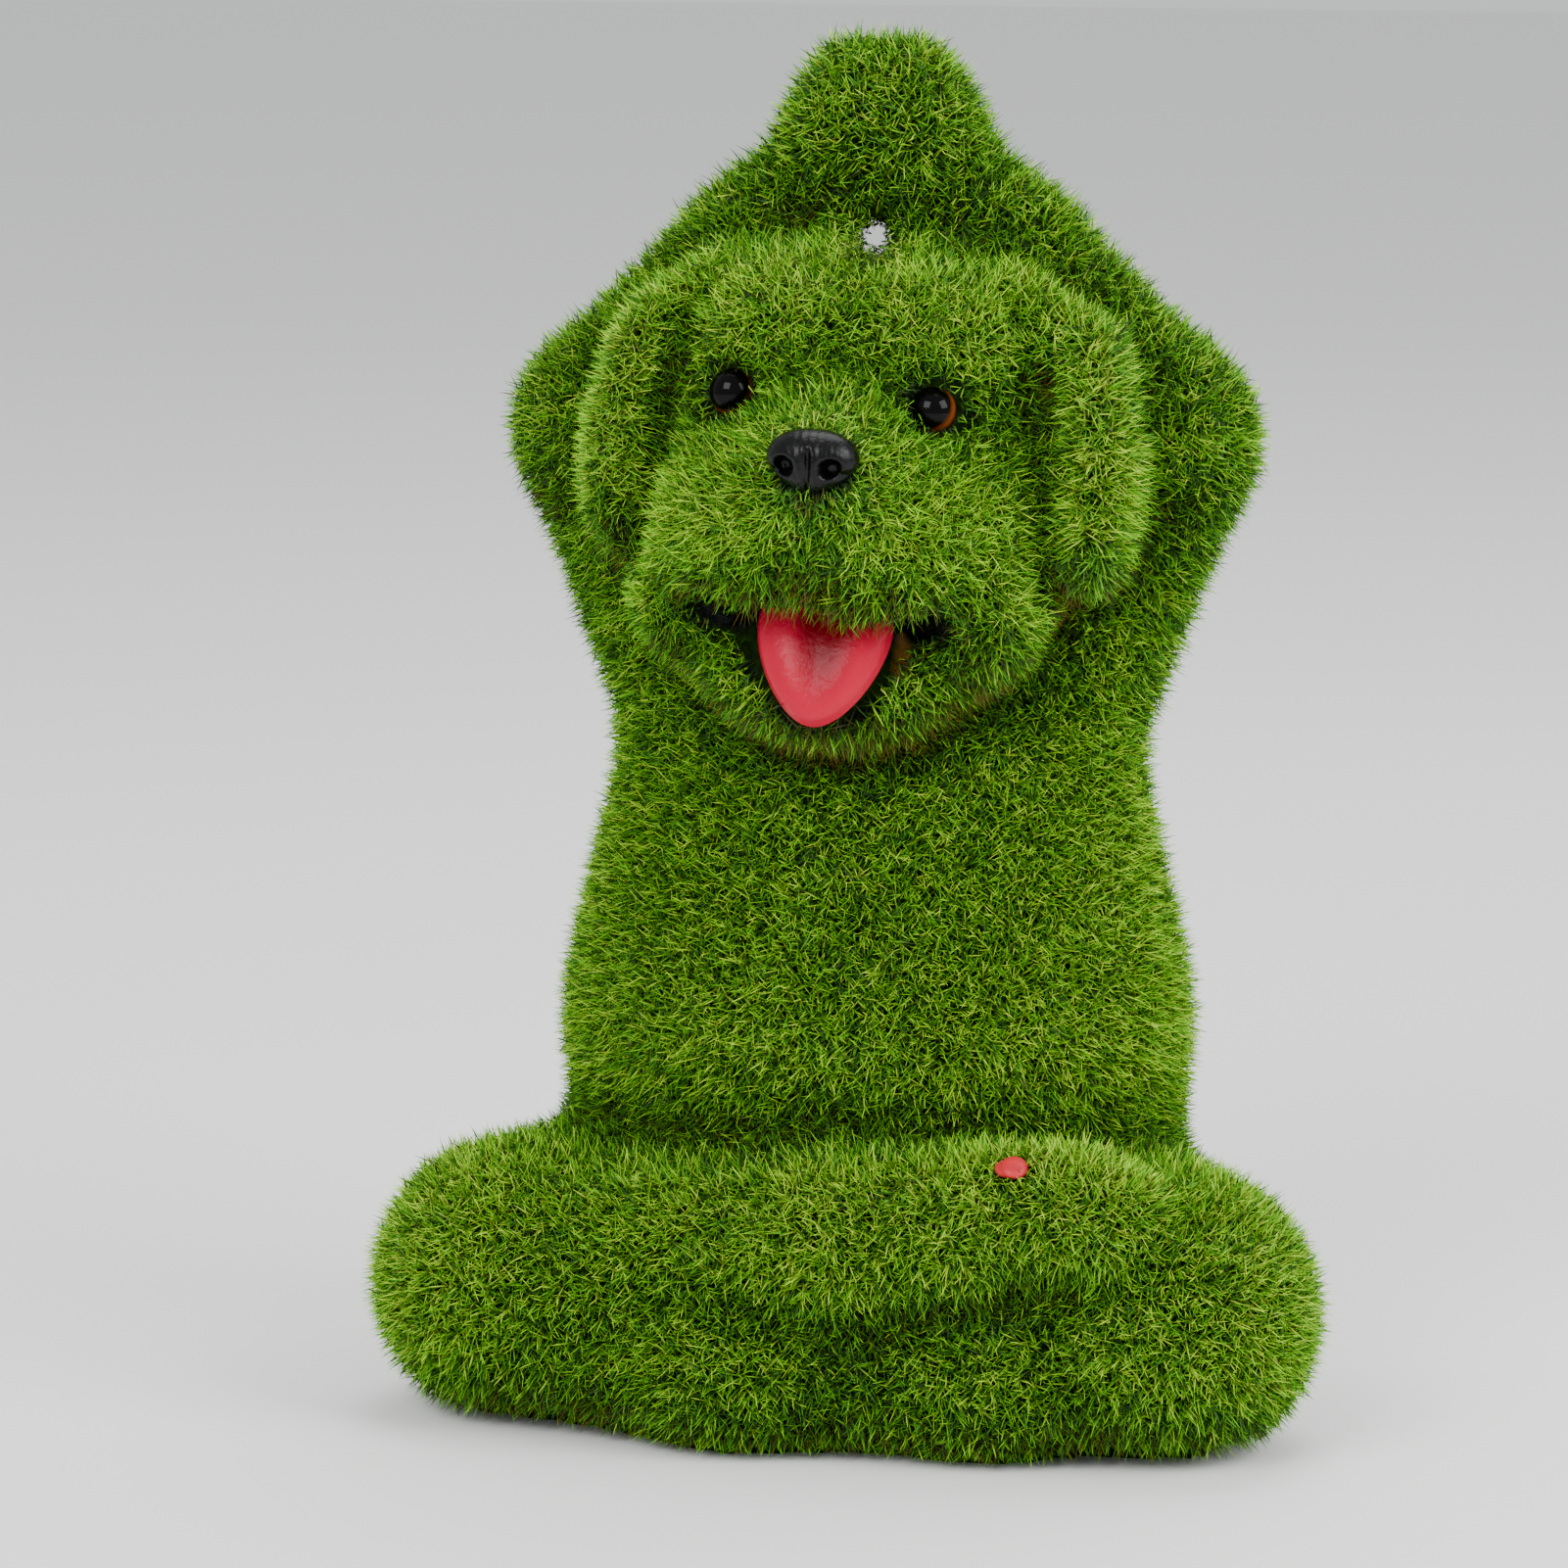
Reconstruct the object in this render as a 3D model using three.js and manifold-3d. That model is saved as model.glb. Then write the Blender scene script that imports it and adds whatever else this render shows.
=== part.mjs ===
// Garden statue of a dog that sits cross-legged in a yoga pose, its arms raised and its paws pressed
// together overhead. One resin casting, flocked all over with artificial grass, carries four set-in
// pieces: two glossy eyes, a nose and a tongue. The casting is modelled as a solid, out to the dense
// part of its grass pile.
// Units are millimetres, +Z is up, the dog faces -Y and its left side is +X. The origin is on the
// ground, under the middle of the casting's box.
import * as THREE from "three";
import { mergeVertices } from "three/addons/utils/BufferGeometryUtils.js";
import Module from "manifold-3d";

const wasm = await Module();
wasm.setup();

// Driving dimensions
const HEIGHT = 300; // ground to the top of the raised paws
const EYE_DIAMETER = 10.2; // a stock craft eye
const EYE_SHOWING = 0.62; // share of the eye's diameter that stands out of its socket
const NOSE_WIDTH = 20;
const NOSE_HEIGHT = 14;
const NOSE_DEPTH = 13;
const NOSTRIL_RADIUS = 1.9;
const NOSE_GROOVE_RADIUS = 1.5;
const TONGUE_WIDTH = 30;
const TONGUE_LENGTH = 36;
const TONGUE_THICKNESS = 9;
const GAP_OVER_HEAD = 6.5; // the small see-through gap between the head and the arms
const SEAT_GAP = 0.35; // all round each set-in piece

// Mesh fineness: the cell size of the figure's grid and of its face, ears, legs, nose and tongue
const COARSE_CELL = 13;
const FACE_CELL = 5.6;
const EAR_CELL = 7.2;
const LEG_CELL = 8;
const NOSE_CELL = 2;
const TONGUE_CELL = 3.6;
const EYE_SEGMENTS = 16;
const EYE_RINGS = 10;
const GAP_SEGMENTS = 12;

// The figure's forms are drawn as shares of its height: one share is HEIGHT over this many
const DRAWN_SHARES = 298.9;
const SCALE = HEIGHT / DRAWN_SHARES;

// Solid forms: each is a function of a point that gives how far outside the form the point lies

const TINY = 1e-9;
const V = (x, y, z) => new THREE.Vector3(x, y, z);

/** An ellipsoid with the given half sizes, turned about its centre by Euler degrees. */
function ellipsoid(centre, half, turn = [0, 0, 0]) {
  const [tx, ty, tz] = turn.map(THREE.MathUtils.degToRad);
  const back = new THREE.Matrix4()
    .makeRotationFromEuler(new THREE.Euler(tx, ty, tz))
    .invert();
  return (p) => {
    const q = p.clone().sub(centre).applyMatrix4(back);
    const k0 = Math.hypot(q.x / half.x, q.y / half.y, q.z / half.z);
    const k1 = Math.hypot(q.x / half.x ** 2, q.y / half.y ** 2, q.z / half.z ** 2);
    return k1 > TINY ? (k0 * (k0 - 1)) / k1 : -Math.min(half.x, half.y, half.z);
  };
}

/** A limb from point a to point b, round in section, with radius ra at a and rb at b. */
function limb(a, b, ra, rb) {
  const along = b.clone().sub(a);
  const length2 = along.lengthSq();
  const taper = ra - rb;
  const a2 = length2 - taper * taper;
  return (p) => {
    const pa = p.clone().sub(a);
    const y = pa.dot(along);
    const z = y - length2;
    const x2 = pa.multiplyScalar(length2).sub(along.clone().multiplyScalar(y)).lengthSq();
    const y2 = y * y * length2;
    const z2 = z * z * length2;
    const k = Math.sign(taper) * taper * taper * x2;
    if (Math.sign(z) * a2 * z2 > k) return Math.sqrt(x2 + z2) / length2 - rb;
    if (Math.sign(y) * a2 * y2 < k) return Math.sqrt(x2 + y2) / length2 - ra;
    return (Math.sqrt((x2 * a2) / length2) + y * taper) / length2 - ra;
  };
}

/** A sheet with an elliptic outline and a round edge, upright across Y before it is turned. */
function sheet(half, turn) {
  const back = turn.clone().invert();
  const [width, height] = [half.x - half.y, half.z - half.y];
  return (p) => {
    const q = p.clone().applyMatrix4(back);
    const k0 = Math.hypot(q.x / width, q.z / height);
    const k1 = Math.hypot(q.x / width ** 2, q.z / height ** 2);
    const outside = k0 > 1 ? (k0 * (k0 - 1)) / k1 : 0;
    return Math.hypot(outside, q.y) - half.y;
  };
}

/**
 * An upright trunk with elliptic sections and flat ends.
 * Each station gives its height, half width, half depth and middle in Y.
 */
function trunk(stations) {
  const heights = stations.map((s) => s[0]);
  const sections = new THREE.CubicInterpolant(heights, stations.flatMap((s) => s.slice(1)), 3);
  const [low, high] = [heights[0], heights[heights.length - 1]];
  return (p) => {
    const [width, depth, middle] = sections.evaluate(THREE.MathUtils.clamp(p.z, low, high));
    const y = p.y - middle;
    const k0 = Math.hypot(p.x / width, y / depth);
    const k1 = Math.hypot(p.x / width ** 2, y / depth ** 2);
    const side = k1 > TINY ? (k0 * (k0 - 1)) / k1 : -Math.min(width, depth);
    return Math.max(side, p.z - high, low - p.z);
  };
}

/** Forms joined with a fillet about as wide as blend. */
const join = (blend, ...forms) => (p) =>
  forms.map((f) => f(p)).reduce((a, b) => {
    const h = Math.max(blend - Math.abs(a - b), 0) / blend;
    return Math.min(a, b) - (h * h * blend) / 4;
  });

/** A form with a hollow pressed into it, whose edge is rounded by blend. */
const press = (blend, form, hollow) => (p) => {
  const a = form(p);
  const b = -hollow(p);
  const h = Math.max(blend - Math.abs(a - b), 0) / blend;
  return Math.max(a, b) + (h * h * blend) / 4;
};

/** The same form on both sides of the figure: side is -1 on its right and 1 on its left. */
const pair = (blend, make) => join(blend, make(-1), make(1));

// The trunk, from the ground to inside the head: height, half width, half depth and middle in Y
const torso = trunk([
  [-8, 56, 40, 5],
  [8, 64, 47, 5],
  [40, 68, 50, 4],
  [62, 67, 46, 4],
  [86, 69, 52, 4],
  [112, 64, 46, 5],
  [142, 57, 36.5, 6],
  [168, 51, 28, 6],
  [192, 42, 20, 6],
  [214, 24, 12, 6],
]);

// The raised arms: shoulder, elbow, wrist, and the two paws pressed together
const arm = (side) =>
  join(
    8,
    limb(V(side * 34, 8, 148), V(side * 61, 10, 212), 22, 19.5),
    limb(V(side * 61, 10, 214), V(side * 26.5, 10, 251), 20, 17),
    limb(V(side * 26.5, 10, 251), V(side * 8, 10, 270), 16.5, 14.5),
  );
const paw = (side) => ellipsoid(V(side * 7.5, 10, 280), V(12.5, 16.5, 19), [0, side * -6, 0]);
const raisedArms = join(9, pair(12, arm), pair(5, paw));

// The head tilts a little to its left, so its forms are drawn upright and read through this turn
const HEAD_MIDDLE = V(0, 0, 205);
const HEAD_TILT = 3; // degrees
const headTurn = new THREE.Matrix4().makeRotationY(THREE.MathUtils.degToRad(HEAD_TILT));
const headPlace = new THREE.Matrix4()
  .makeTranslation(HEAD_MIDDLE)
  .multiply(headTurn)
  .multiply(new THREE.Matrix4().makeTranslation(HEAD_MIDDLE.clone().negate()));
const headBack = headPlace.clone().invert();
const onHead = (form) => (p) => form(p.clone().applyMatrix4(headBack));

const skull = join(
  12,
  ellipsoid(V(0, -6, 217), V(46, 36, 41)),
  ellipsoid(V(0, -14, 198), V(44, 36, 30)),
  ellipsoid(V(0, 8, 209.5), V(42, 27, 38)),
);
const brow = (side) => ellipsoid(V(side * 17, -26, 238), V(16, 12, 11), [-25, 0, side * 12]);
const muzzle = join(
  8,
  ellipsoid(V(0, -37, 204), V(29, 24, 20)),
  ellipsoid(V(-13.5, -38, 195.2), V(21, 23, 16.5), [0, 0, -14]),
  ellipsoid(V(12.5, -38, 195), V(20, 23, 17), [0, 0, 16]),
  limb(V(0, -36, 215), V(0, -51, 213), 11, 10),
);
const cheek = (side) =>
  join(
    6,
    ellipsoid(V(side * 26, -23, 194), V(20, 22, 20), [0, 0, side * 20]),
    ellipsoid(V(side * 29.5, -27, 183), V(13.5, 20, 17), [0, 0, side * 24]),
  );
const eyeHollow = (side) => ellipsoid(V(side * 22.5 - 1.2, -43, 224.5), V(9, 8.5, 8.5));
const jaw = ellipsoid(V(0, -29, 171), V(30, 25, 19), [18, 0, 0]);
const mouth = ellipsoid(V(0, -55, 177), V(25, 18, 17.5), [20, 0, 0]);
const mouthCorner = (side) => limb(V(side * 29 - 2, -42, 183), V(side * 14, -50, 177), 5, 8.5);
const EAR_SHIFT = 2.5; // the left ear stands out a little more than the right one
const earFold = (side) => {
  const x = side * 43 + EAR_SHIFT;
  return join(
    6,
    limb(V(x - side * 8, -31, 244), V(x, -27, 232), 3, 5.5),
    limb(V(x, -27, 232), V(x, -37, 190), 5.5, 6),
  );
};
const ear = (side) => {
  const x = side * 51 + EAR_SHIFT;
  return join(
    6,
    limb(V(side * 30, -14, 245), V(x - side * 7, -19, 236), 9, 8),
    ellipsoid(V(x, -19, 221), V(6.5, 19, 22), [4, side * -8, side * 4]),
    ellipsoid(V(x, -22, 203), V(7, 18, 17), [8, 0, side * 6]),
  );
};
const face = press(6, join(9, join(12, skull, pair(6, brow)), pair(6, cheek)), pair(1, eyeHollow));
const foldedFace = press(4, face, pair(1, earFold));
const openJaw = press(3, join(8, foldedFace, jaw), join(4, mouth, pair(4, mouthCorner)));
const head = onHead(join(2, join(9, openJaw, muzzle), pair(1, ear)));

// The crossed legs: the right shin crosses in front, and its foot rests on the left leg
const rightLeg = join(
  12,
  limb(V(-36, 8, 30), V(-74, -30, 29), 34, 27),
  limb(V(-74, -32, 29), V(4, -50, 46.5), 27, 17),
);
const rightFoot = join(
  6,
  limb(V(4, -50, 46.5), V(34, -52.5, 52), 17, 15.5),
  ellipsoid(V(55, -53, 55.5), V(20, 14.5, 13.5), [0, 10, -4]),
);
const leftLeg = join(
  12,
  limb(V(36, 8, 31), V(73, -32, 30), 34, 27.5),
  limb(V(73, -34, 29), V(34, -43, 16.5), 27.5, 18.5),
  limb(V(34, -43, 16.5), V(-20, -45, 17), 18.5, 20),
  limb(V(-20, -45, 17), V(-58, -38, 21), 20, 21),
);
const legs = join(4, leftLeg, join(8, rightLeg, rightFoot));

const drawnFigure = join(4, join(5, join(5, torso, legs), raisedArms), head);
const figure = (p) => drawnFigure(p.clone().divideScalar(SCALE)) * SCALE;

// Meshing of a form: a closed skin with one corner in each grid cell that the form's surface crosses

/**
 * Grid lines from low to high. Each zone is a stretch with a cell size of its own, and the cells
 * grow to COARSE_CELL away from it.
 */
function gridLines(low, high, zones) {
  const growth = 0.3;
  const lines = [low - COARSE_CELL, low];
  while (lines[lines.length - 1] < high) {
    const at = lines[lines.length - 1];
    const sizes = zones.map(([from, to, cell]) => cell + growth * Math.max(from - at, at - to, 0));
    lines.push(at + Math.min(COARSE_CELL, ...sizes));
  }
  return lines;
}

// A cell's corner number holds its place in X, Y and Z as bits, and an edge joins two corners
const corners = [...Array(8).keys()];
const axisSteps = [0, 1, 2].map((axis) => 1 << axis);
const placeOf = (corner) => [corner & 1, (corner >> 1) & 1, corner >> 2];
const edges = corners.flatMap((c) => axisSteps.filter((s) => !(c & s)).map((s) => [c, c | s]));
const sides = axisSteps.flatMap((s) => [0, s].map((side) => corners.filter((c) => (c & s) === side)));
const edgeNumber = (from, to) => edges.findIndex(([a, b]) => a === from && b === to);

/** Calls visit for each i, j, k from the given first number up to the counts. */
function forGrid(first, [nx, ny, nz], visit) {
  for (let k = first; k < nz; k += 1)
    for (let j = first; j < ny; j += 1) for (let i = first; i < nx; i += 1) visit(i, j, k);
}

/** For each cell edge that the surface crosses, the loop of crossed edges that it belongs to. */
function loopsOf(inside) {
  const loop = edges.map(([a, b], e) => (inside[a] !== inside[b] ? e : -1));
  const find = (e) => (loop[e] === e ? e : find(loop[e]));
  for (const face of sides) {
    const crossed = edges.flatMap(([a, b], e) =>
      face.includes(a) && face.includes(b) && loop[e] >= 0 ? [e] : [],
    );
    if (crossed.length === 2) loop[find(crossed[1])] = find(crossed[0]);
  }
  return loop.map((l) => (l < 0 ? -1 : find(l)));
}

/** Fills a corner of each grid face whose inside corners meet only diagonally, so no skin pinches. */
function fillPinches(value, counts, at) {
  const justInside = -0.05;
  const planes = [[1, 2], [2, 4], [4, 1]];
  let filled = true;
  while (filled) {
    filled = false;
    forGrid(0, counts.map((n) => n - 1), (i, j, k) => {
      for (const [u, v] of planes) {
        const around = [0, u, u | v, v].map((corner) => {
          const [x, y, z] = placeOf(corner);
          return at(i + x, j + y, k + z);
        });
        const signs = around.map((n) => value[n] < 0);
        if (signs[0] !== signs[2] || signs[1] !== signs[3] || signs[0] === signs[1]) continue;
        const outside = around.filter((n, side) => !signs[side]);
        const nearest = value[outside[0]] < value[outside[1]] ? outside[0] : outside[1];
        value[nearest] = justInside;
        filled = true;
      }
    });
  }
}

/** Slides a corner of the skin onto the form's own surface. */
function slideOnto(form, p) {
  const small = 0.05;
  const turns = 3;
  const share = 0.8;
  const longest = 1.2;
  const flattest = 0.2;
  for (let turn = 0; turn < turns; turn += 1) {
    const slope = V(
      form(V(p.x + small, p.y, p.z)) - form(V(p.x - small, p.y, p.z)),
      form(V(p.x, p.y + small, p.z)) - form(V(p.x, p.y - small, p.z)),
      form(V(p.x, p.y, p.z + small)) - form(V(p.x, p.y, p.z - small)),
    ).divideScalar(2 * small);
    const move = form(p) / Math.max(slope.lengthSq(), flattest);
    p.addScaledVector(slope, -share * THREE.MathUtils.clamp(move, -longest, longest));
  }
}

/** The skin of a form, as a closed BufferGeometry. */
function skin(form, [xs, ys, zs]) {
  const counts = [xs.length, ys.length, zs.length];
  const cells = counts.map((n) => n - 1);
  const at = (i, j, k) => i + counts[0] * (j + counts[1] * k);
  const value = new Float64Array(counts[0] * counts[1] * counts[2]);
  forGrid(0, counts, (i, j, k) => {
    value[at(i, j, k)] = form(V(xs[i], ys[j], zs[k]));
  });
  fillPinches(value, counts, at);

  // One corner of the skin for each loop of crossed edges in a cell, at the middle of its crossings
  const spots = [];
  const spotOf = new Map();
  forGrid(0, cells, (i, j, k) => {
    const points = corners.map(placeOf).map(([x, y, z]) => [i + x, j + y, k + z]);
    const values = points.map((point) => value[at(...point)]);
    const loops = loopsOf(values.map((v) => v < 0));
    for (const loop of new Set(loops.filter((l) => l >= 0))) {
      const crossed = edges.map((_, e) => e).filter((e) => loops[e] === loop);
      const middle = V(0, 0, 0);
      for (const e of crossed) {
        const [a, b] = edges[e];
        const [p, q] = [points[a], points[b]].map(([u, v, w]) => V(xs[u], ys[v], zs[w]));
        middle.add(p.lerp(q, values[a] / (values[a] - values[b])));
        spotOf.set(at(i, j, k) * edges.length + e, spots.length);
      }
      spots.push(middle.divideScalar(crossed.length));
    }
  });

  // Two triangles across each crossed grid edge, between the four cells round it
  const triangles = [];
  forGrid(1, cells, (i, j, k) => {
    for (const [step, u, v] of [[1, 2, 4], [2, 4, 1], [4, 1, 2]]) {
      const [x, y, z] = placeOf(step);
      const inside = value[at(i, j, k)] < 0;
      if (inside === value[at(i + x, j + y, k + z)] < 0) continue;
      const ring = [0, u, u | v, v].map((corner) => {
        const [bx, by, bz] = placeOf(corner);
        const cell = at(i - bx, j - by, k - bz);
        return spotOf.get(cell * edges.length + edgeNumber(corner, corner | step));
      });
      if (inside) ring.reverse();
      const [a, b, c, d] = ring;
      const short = spots[a].distanceTo(spots[c]) < spots[b].distanceTo(spots[d]);
      triangles.push(...(short ? [a, c, b, a, d, c] : [a, d, b, b, d, c]));
    }
  });

  spots.forEach((p) => slideOnto(form, p));
  const geometry = new THREE.BufferGeometry().setFromPoints(spots);
  geometry.setIndex(triangles);
  return geometry;
}

// Cuts

/** A copy of a geometry with only its positions, and its shared corners merged. */
const SAME_CORNER = 1e-4;
const bare = (geometry) =>
  mergeVertices(geometry.clone().deleteAttribute("uv").deleteAttribute("normal"), SAME_CORNER);

function solidFrom(geometry) {
  const { attributes, index } = bare(geometry);
  const mesh = new wasm.Mesh({
    numProp: 3,
    vertProperties: new Float32Array(attributes.position.array),
    triVerts: new Uint32Array(index.array),
  });
  return new wasm.Manifold(mesh);
}

function geometryFrom(solid) {
  const { vertProperties, triVerts } = solid.getMesh();
  const geometry = new THREE.BufferGeometry();
  geometry.setAttribute("position", new THREE.BufferAttribute(vertProperties, 3));
  geometry.setIndex(new THREE.BufferAttribute(triVerts, 1));
  return geometry;
}

// Set-in pieces

/** The point where the figure's surface is met on the way out from a drawn point of the head. */
function headSurface(from, direction) {
  const p = from.clone().applyMatrix4(headPlace).multiplyScalar(SCALE);
  const step = 0.5;
  while (figure(p) < 0) p.addScaledVector(direction, step);
  return p;
}

/** A form drawn round its own origin, set at a point with the head's tilt. */
const setAt = (point, form) => {
  const back = headTurn.clone().invert();
  return (p) => form(p.clone().sub(point).applyMatrix4(back));
};

/** Grid lines for a small form: evenly spaced over a box round the point. */
const evenGrid = (point, reach, cell) =>
  ["x", "y", "z"].map((axis) => {
    const count = Math.ceil((2 * reach[axis]) / cell);
    return [...Array(count + 1).keys()].map((i) => point[axis] + (i - count / 2) * cell);
  });

/** A set-in piece, meshed round a point of the figure. */
const inset = (point, form, reach, cell) =>
  skin(setAt(point, form), evenGrid(point, reach.clone().addScalar(cell), cell));

/** The seat of a set-in piece: the piece itself, grown by SEAT_GAP all round. */
function seatOf(geometry) {
  const seat = bare(geometry);
  seat.computeVertexNormals();
  const { position, normal } = seat.attributes;
  for (let i = 0; i < position.count; i += 1) {
    const p = V(0, 0, 0).fromBufferAttribute(position, i);
    p.addScaledVector(V(0, 0, 0).fromBufferAttribute(normal, i), SEAT_GAP);
    position.setXYZ(i, p.x, p.y, p.z);
  }
  return seat;
}

// The figure's own skin, cut off flat at the ground
const reach = { x: 116, back: 74, front: -82, low: -22, top: 318 };
const figureGrid = [
  gridLines(-reach.x, reach.x, [[-30, 32, FACE_CELL], [-56, 60, EAR_CELL]]),
  gridLines(reach.front, reach.back, [[-66, -36, FACE_CELL], [-36, 0, EAR_CELL]]),
  gridLines(reach.low, reach.top, [[156, 230, FACE_CELL], [8, 62, LEG_CELL]]),
].map((lines) => lines.map((value) => value * SCALE));
const ground = new THREE.BoxGeometry(HEIGHT * 2, HEIGHT * 2, HEIGHT);
ground.translate(0, 0, -HEIGHT / 2);

// Two eyes
const eyeLook = (side) => V(side * 0.25, -1, 0.06).normalize();
const eyeMiddle = (side) =>
  headSurface(V(side * 17.8 - 2, -20, 223.5 - side * 0.5), eyeLook(side)).addScaledVector(
    eyeLook(side),
    EYE_DIAMETER * (EYE_SHOWING - 0.5),
  );
const eyeBall = (side) =>
  new THREE.SphereGeometry(EYE_DIAMETER / 2, EYE_SEGMENTS, EYE_RINGS).translate(...eyeMiddle(side));
const [eyeRight, eyeLeft] = [eyeBall(-1), eyeBall(1)];

// The nose, with a groove down its front and two nostrils
const nosePoint = headSurface(V(0, -30, 215), V(0, -1, 0));
const noseHalf = V(NOSE_WIDTH / 2, NOSE_DEPTH / 2, NOSE_HEIGHT / 2);
const noseSpot = (x, y, z) => V(x, y, z).multiply(noseHalf);
const nostril = (side) =>
  limb(
    noseSpot(side * 0.52, -1, -0.14),
    noseSpot(side * 0.36, -0.3, -0.1),
    NOSTRIL_RADIUS,
    NOSTRIL_RADIUS * 0.6,
  );
const noseGroove = limb(
  noseSpot(0, -1.2, -1),
  noseSpot(0, -1.14, 0.3),
  NOSE_GROOVE_RADIUS,
  NOSE_GROOVE_RADIUS * 0.8,
);
const noseBall = join(
  3,
  ellipsoid(noseSpot(0, 0, 0.25), noseSpot(1, 1, 0.74)),
  ellipsoid(noseSpot(0, -0.1, -0.42), noseSpot(0.66, 0.88, 0.58)),
);
const noseForm = press(1, noseBall, join(0.5, pair(0.5, nostril), noseGroove));
const nose = inset(nosePoint, noseForm, noseHalf, NOSE_CELL);

// The tongue: a thick sheet with a round edge, hollowed along its middle, that leans out of the mouth
const TONGUE_LEAN = -24; // degrees
const tonguePoint = V(0.7, -46, 174).applyMatrix4(headPlace).multiplyScalar(SCALE);
const tongueHalf = V(TONGUE_WIDTH / 2, TONGUE_THICKNESS / 2, TONGUE_LENGTH / 2);
const tongueTurn = new THREE.Matrix4().makeRotationX(THREE.MathUtils.degToRad(TONGUE_LEAN));
const tongueHollow = ellipsoid(
  V(0, -TONGUE_THICKNESS * 0.75, TONGUE_LENGTH * 0.08),
  tongueHalf.clone().multiplyScalar(0.6),
  [TONGUE_LEAN, 0, 0],
);
const tongueForm = press(3, sheet(tongueHalf, tongueTurn), tongueHollow);
const tongueReach = V(tongueHalf.x, tongueHalf.z * 0.5 + tongueHalf.y, tongueHalf.z);
const tongue = inset(tonguePoint, tongueForm, tongueReach, TONGUE_CELL);

// The see-through gap, level with the top of the head and falling a little towards the back
const GAP_FALL = -9.5; // degrees
const GAP_TURN = 12.4; // degrees
const gapRadius = GAP_OVER_HEAD / 2;
const gapOverHead = new THREE.CylinderGeometry(gapRadius, gapRadius, HEIGHT * 0.3, GAP_SEGMENTS)
  .rotateX(THREE.MathUtils.degToRad(GAP_FALL))
  .rotateZ(THREE.MathUtils.degToRad(GAP_TURN))
  .translate(...V(-0.2, 5, 256.4).multiplyScalar(SCALE));

const casting = [
  ground,
  seatOf(eyeRight),
  seatOf(eyeLeft),
  seatOf(nose),
  seatOf(tongue),
  gapOverHead,
].reduce((left, cut) => left.subtract(solidFrom(cut)), solidFrom(skin(figure, figureGrid)));

// The scene graph, moved so that the origin is under the middle of the statue's box
const GRASS = new THREE.MeshStandardMaterial({ color: 0x4f8a1c, roughness: 0.95 });
const EYE_PLASTIC = new THREE.MeshStandardMaterial({ color: 0x120b08, roughness: 0.08 });
const NOSE_ENAMEL = new THREE.MeshStandardMaterial({ color: 0x1b1b1e, roughness: 0.22 });
const TONGUE_ENAMEL = new THREE.MeshStandardMaterial({ color: 0xc8334f, roughness: 0.28 });

function piece(name, geometry, material) {
  const mesh = new THREE.Mesh(geometry, material);
  mesh.name = name;
  return mesh;
}

const body = piece("body", geometryFrom(casting), GRASS);
const statue = new THREE.Group();
statue.add(body);
statue.add(piece("eye_right", eyeRight, EYE_PLASTIC));
statue.add(piece("eye_left", eyeLeft, EYE_PLASTIC));
statue.add(piece("nose", nose, NOSE_ENAMEL));
statue.add(piece("tongue", tongue, TONGUE_ENAMEL));
const middle = new THREE.Box3().setFromObject(body).getCenter(V(0, 0, 0));
statue.position.set(-middle.x, -middle.y, 0);

export default statue;
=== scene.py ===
"""Garden statue of a dog in a yoga pose, flocked all over with artificial grass.

Everything is in metres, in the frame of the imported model: +Z is up, the dog faces -Y and its
own left side is +X.
"""

import logging
import math
from dataclasses import dataclass, field
from enum import Enum

import bmesh
import bpy
import numpy as np
from mathutils import Matrix, Vector


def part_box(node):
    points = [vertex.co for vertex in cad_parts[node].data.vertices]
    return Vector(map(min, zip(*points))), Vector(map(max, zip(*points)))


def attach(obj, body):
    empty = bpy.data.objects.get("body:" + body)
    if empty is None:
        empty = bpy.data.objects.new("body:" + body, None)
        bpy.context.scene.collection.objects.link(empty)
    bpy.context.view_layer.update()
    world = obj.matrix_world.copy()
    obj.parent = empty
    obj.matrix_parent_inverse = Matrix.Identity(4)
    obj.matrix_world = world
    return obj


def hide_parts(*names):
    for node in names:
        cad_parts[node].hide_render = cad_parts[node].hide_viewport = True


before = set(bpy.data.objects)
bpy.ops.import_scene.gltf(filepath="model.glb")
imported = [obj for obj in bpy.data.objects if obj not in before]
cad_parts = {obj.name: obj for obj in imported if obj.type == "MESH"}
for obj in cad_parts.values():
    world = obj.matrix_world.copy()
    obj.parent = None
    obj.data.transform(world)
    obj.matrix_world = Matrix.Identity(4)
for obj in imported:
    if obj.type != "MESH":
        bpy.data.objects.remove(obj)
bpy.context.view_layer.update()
ROOT_BODY = "root"
MM = 0.001

log = logging.getLogger("grass_dog")

Array = np.ndarray
Mesh = bpy.types.Mesh
Object = bpy.types.Object
Socket = bpy.types.NodeSocket
Tree = bpy.types.NodeTree
Rgba = tuple[float, float, float, float]
Stops = list[tuple[float, Rgba]]

# The node types that are used most
MATH = "ShaderNodeMath"
VECTOR_MATH = "ShaderNodeVectorMath"
SPLIT = "ShaderNodeSeparateXYZ"
JOIN = "ShaderNodeCombineXYZ"
STORE = "GeometryNodeStoreNamedAttribute"
STORED = "GeometryNodeInputNamedAttribute"


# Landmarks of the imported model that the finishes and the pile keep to


def middle_of(node: str) -> Vector:
    """The middle of a CAD node's box, in metres."""
    low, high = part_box(node)
    return (Vector(low) + Vector(high)) / 2


def half_of(node: str) -> Vector:
    """Half the size of a CAD node's box, in metres."""
    low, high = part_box(node)
    return (Vector(high) - Vector(low)) / 2


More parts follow.
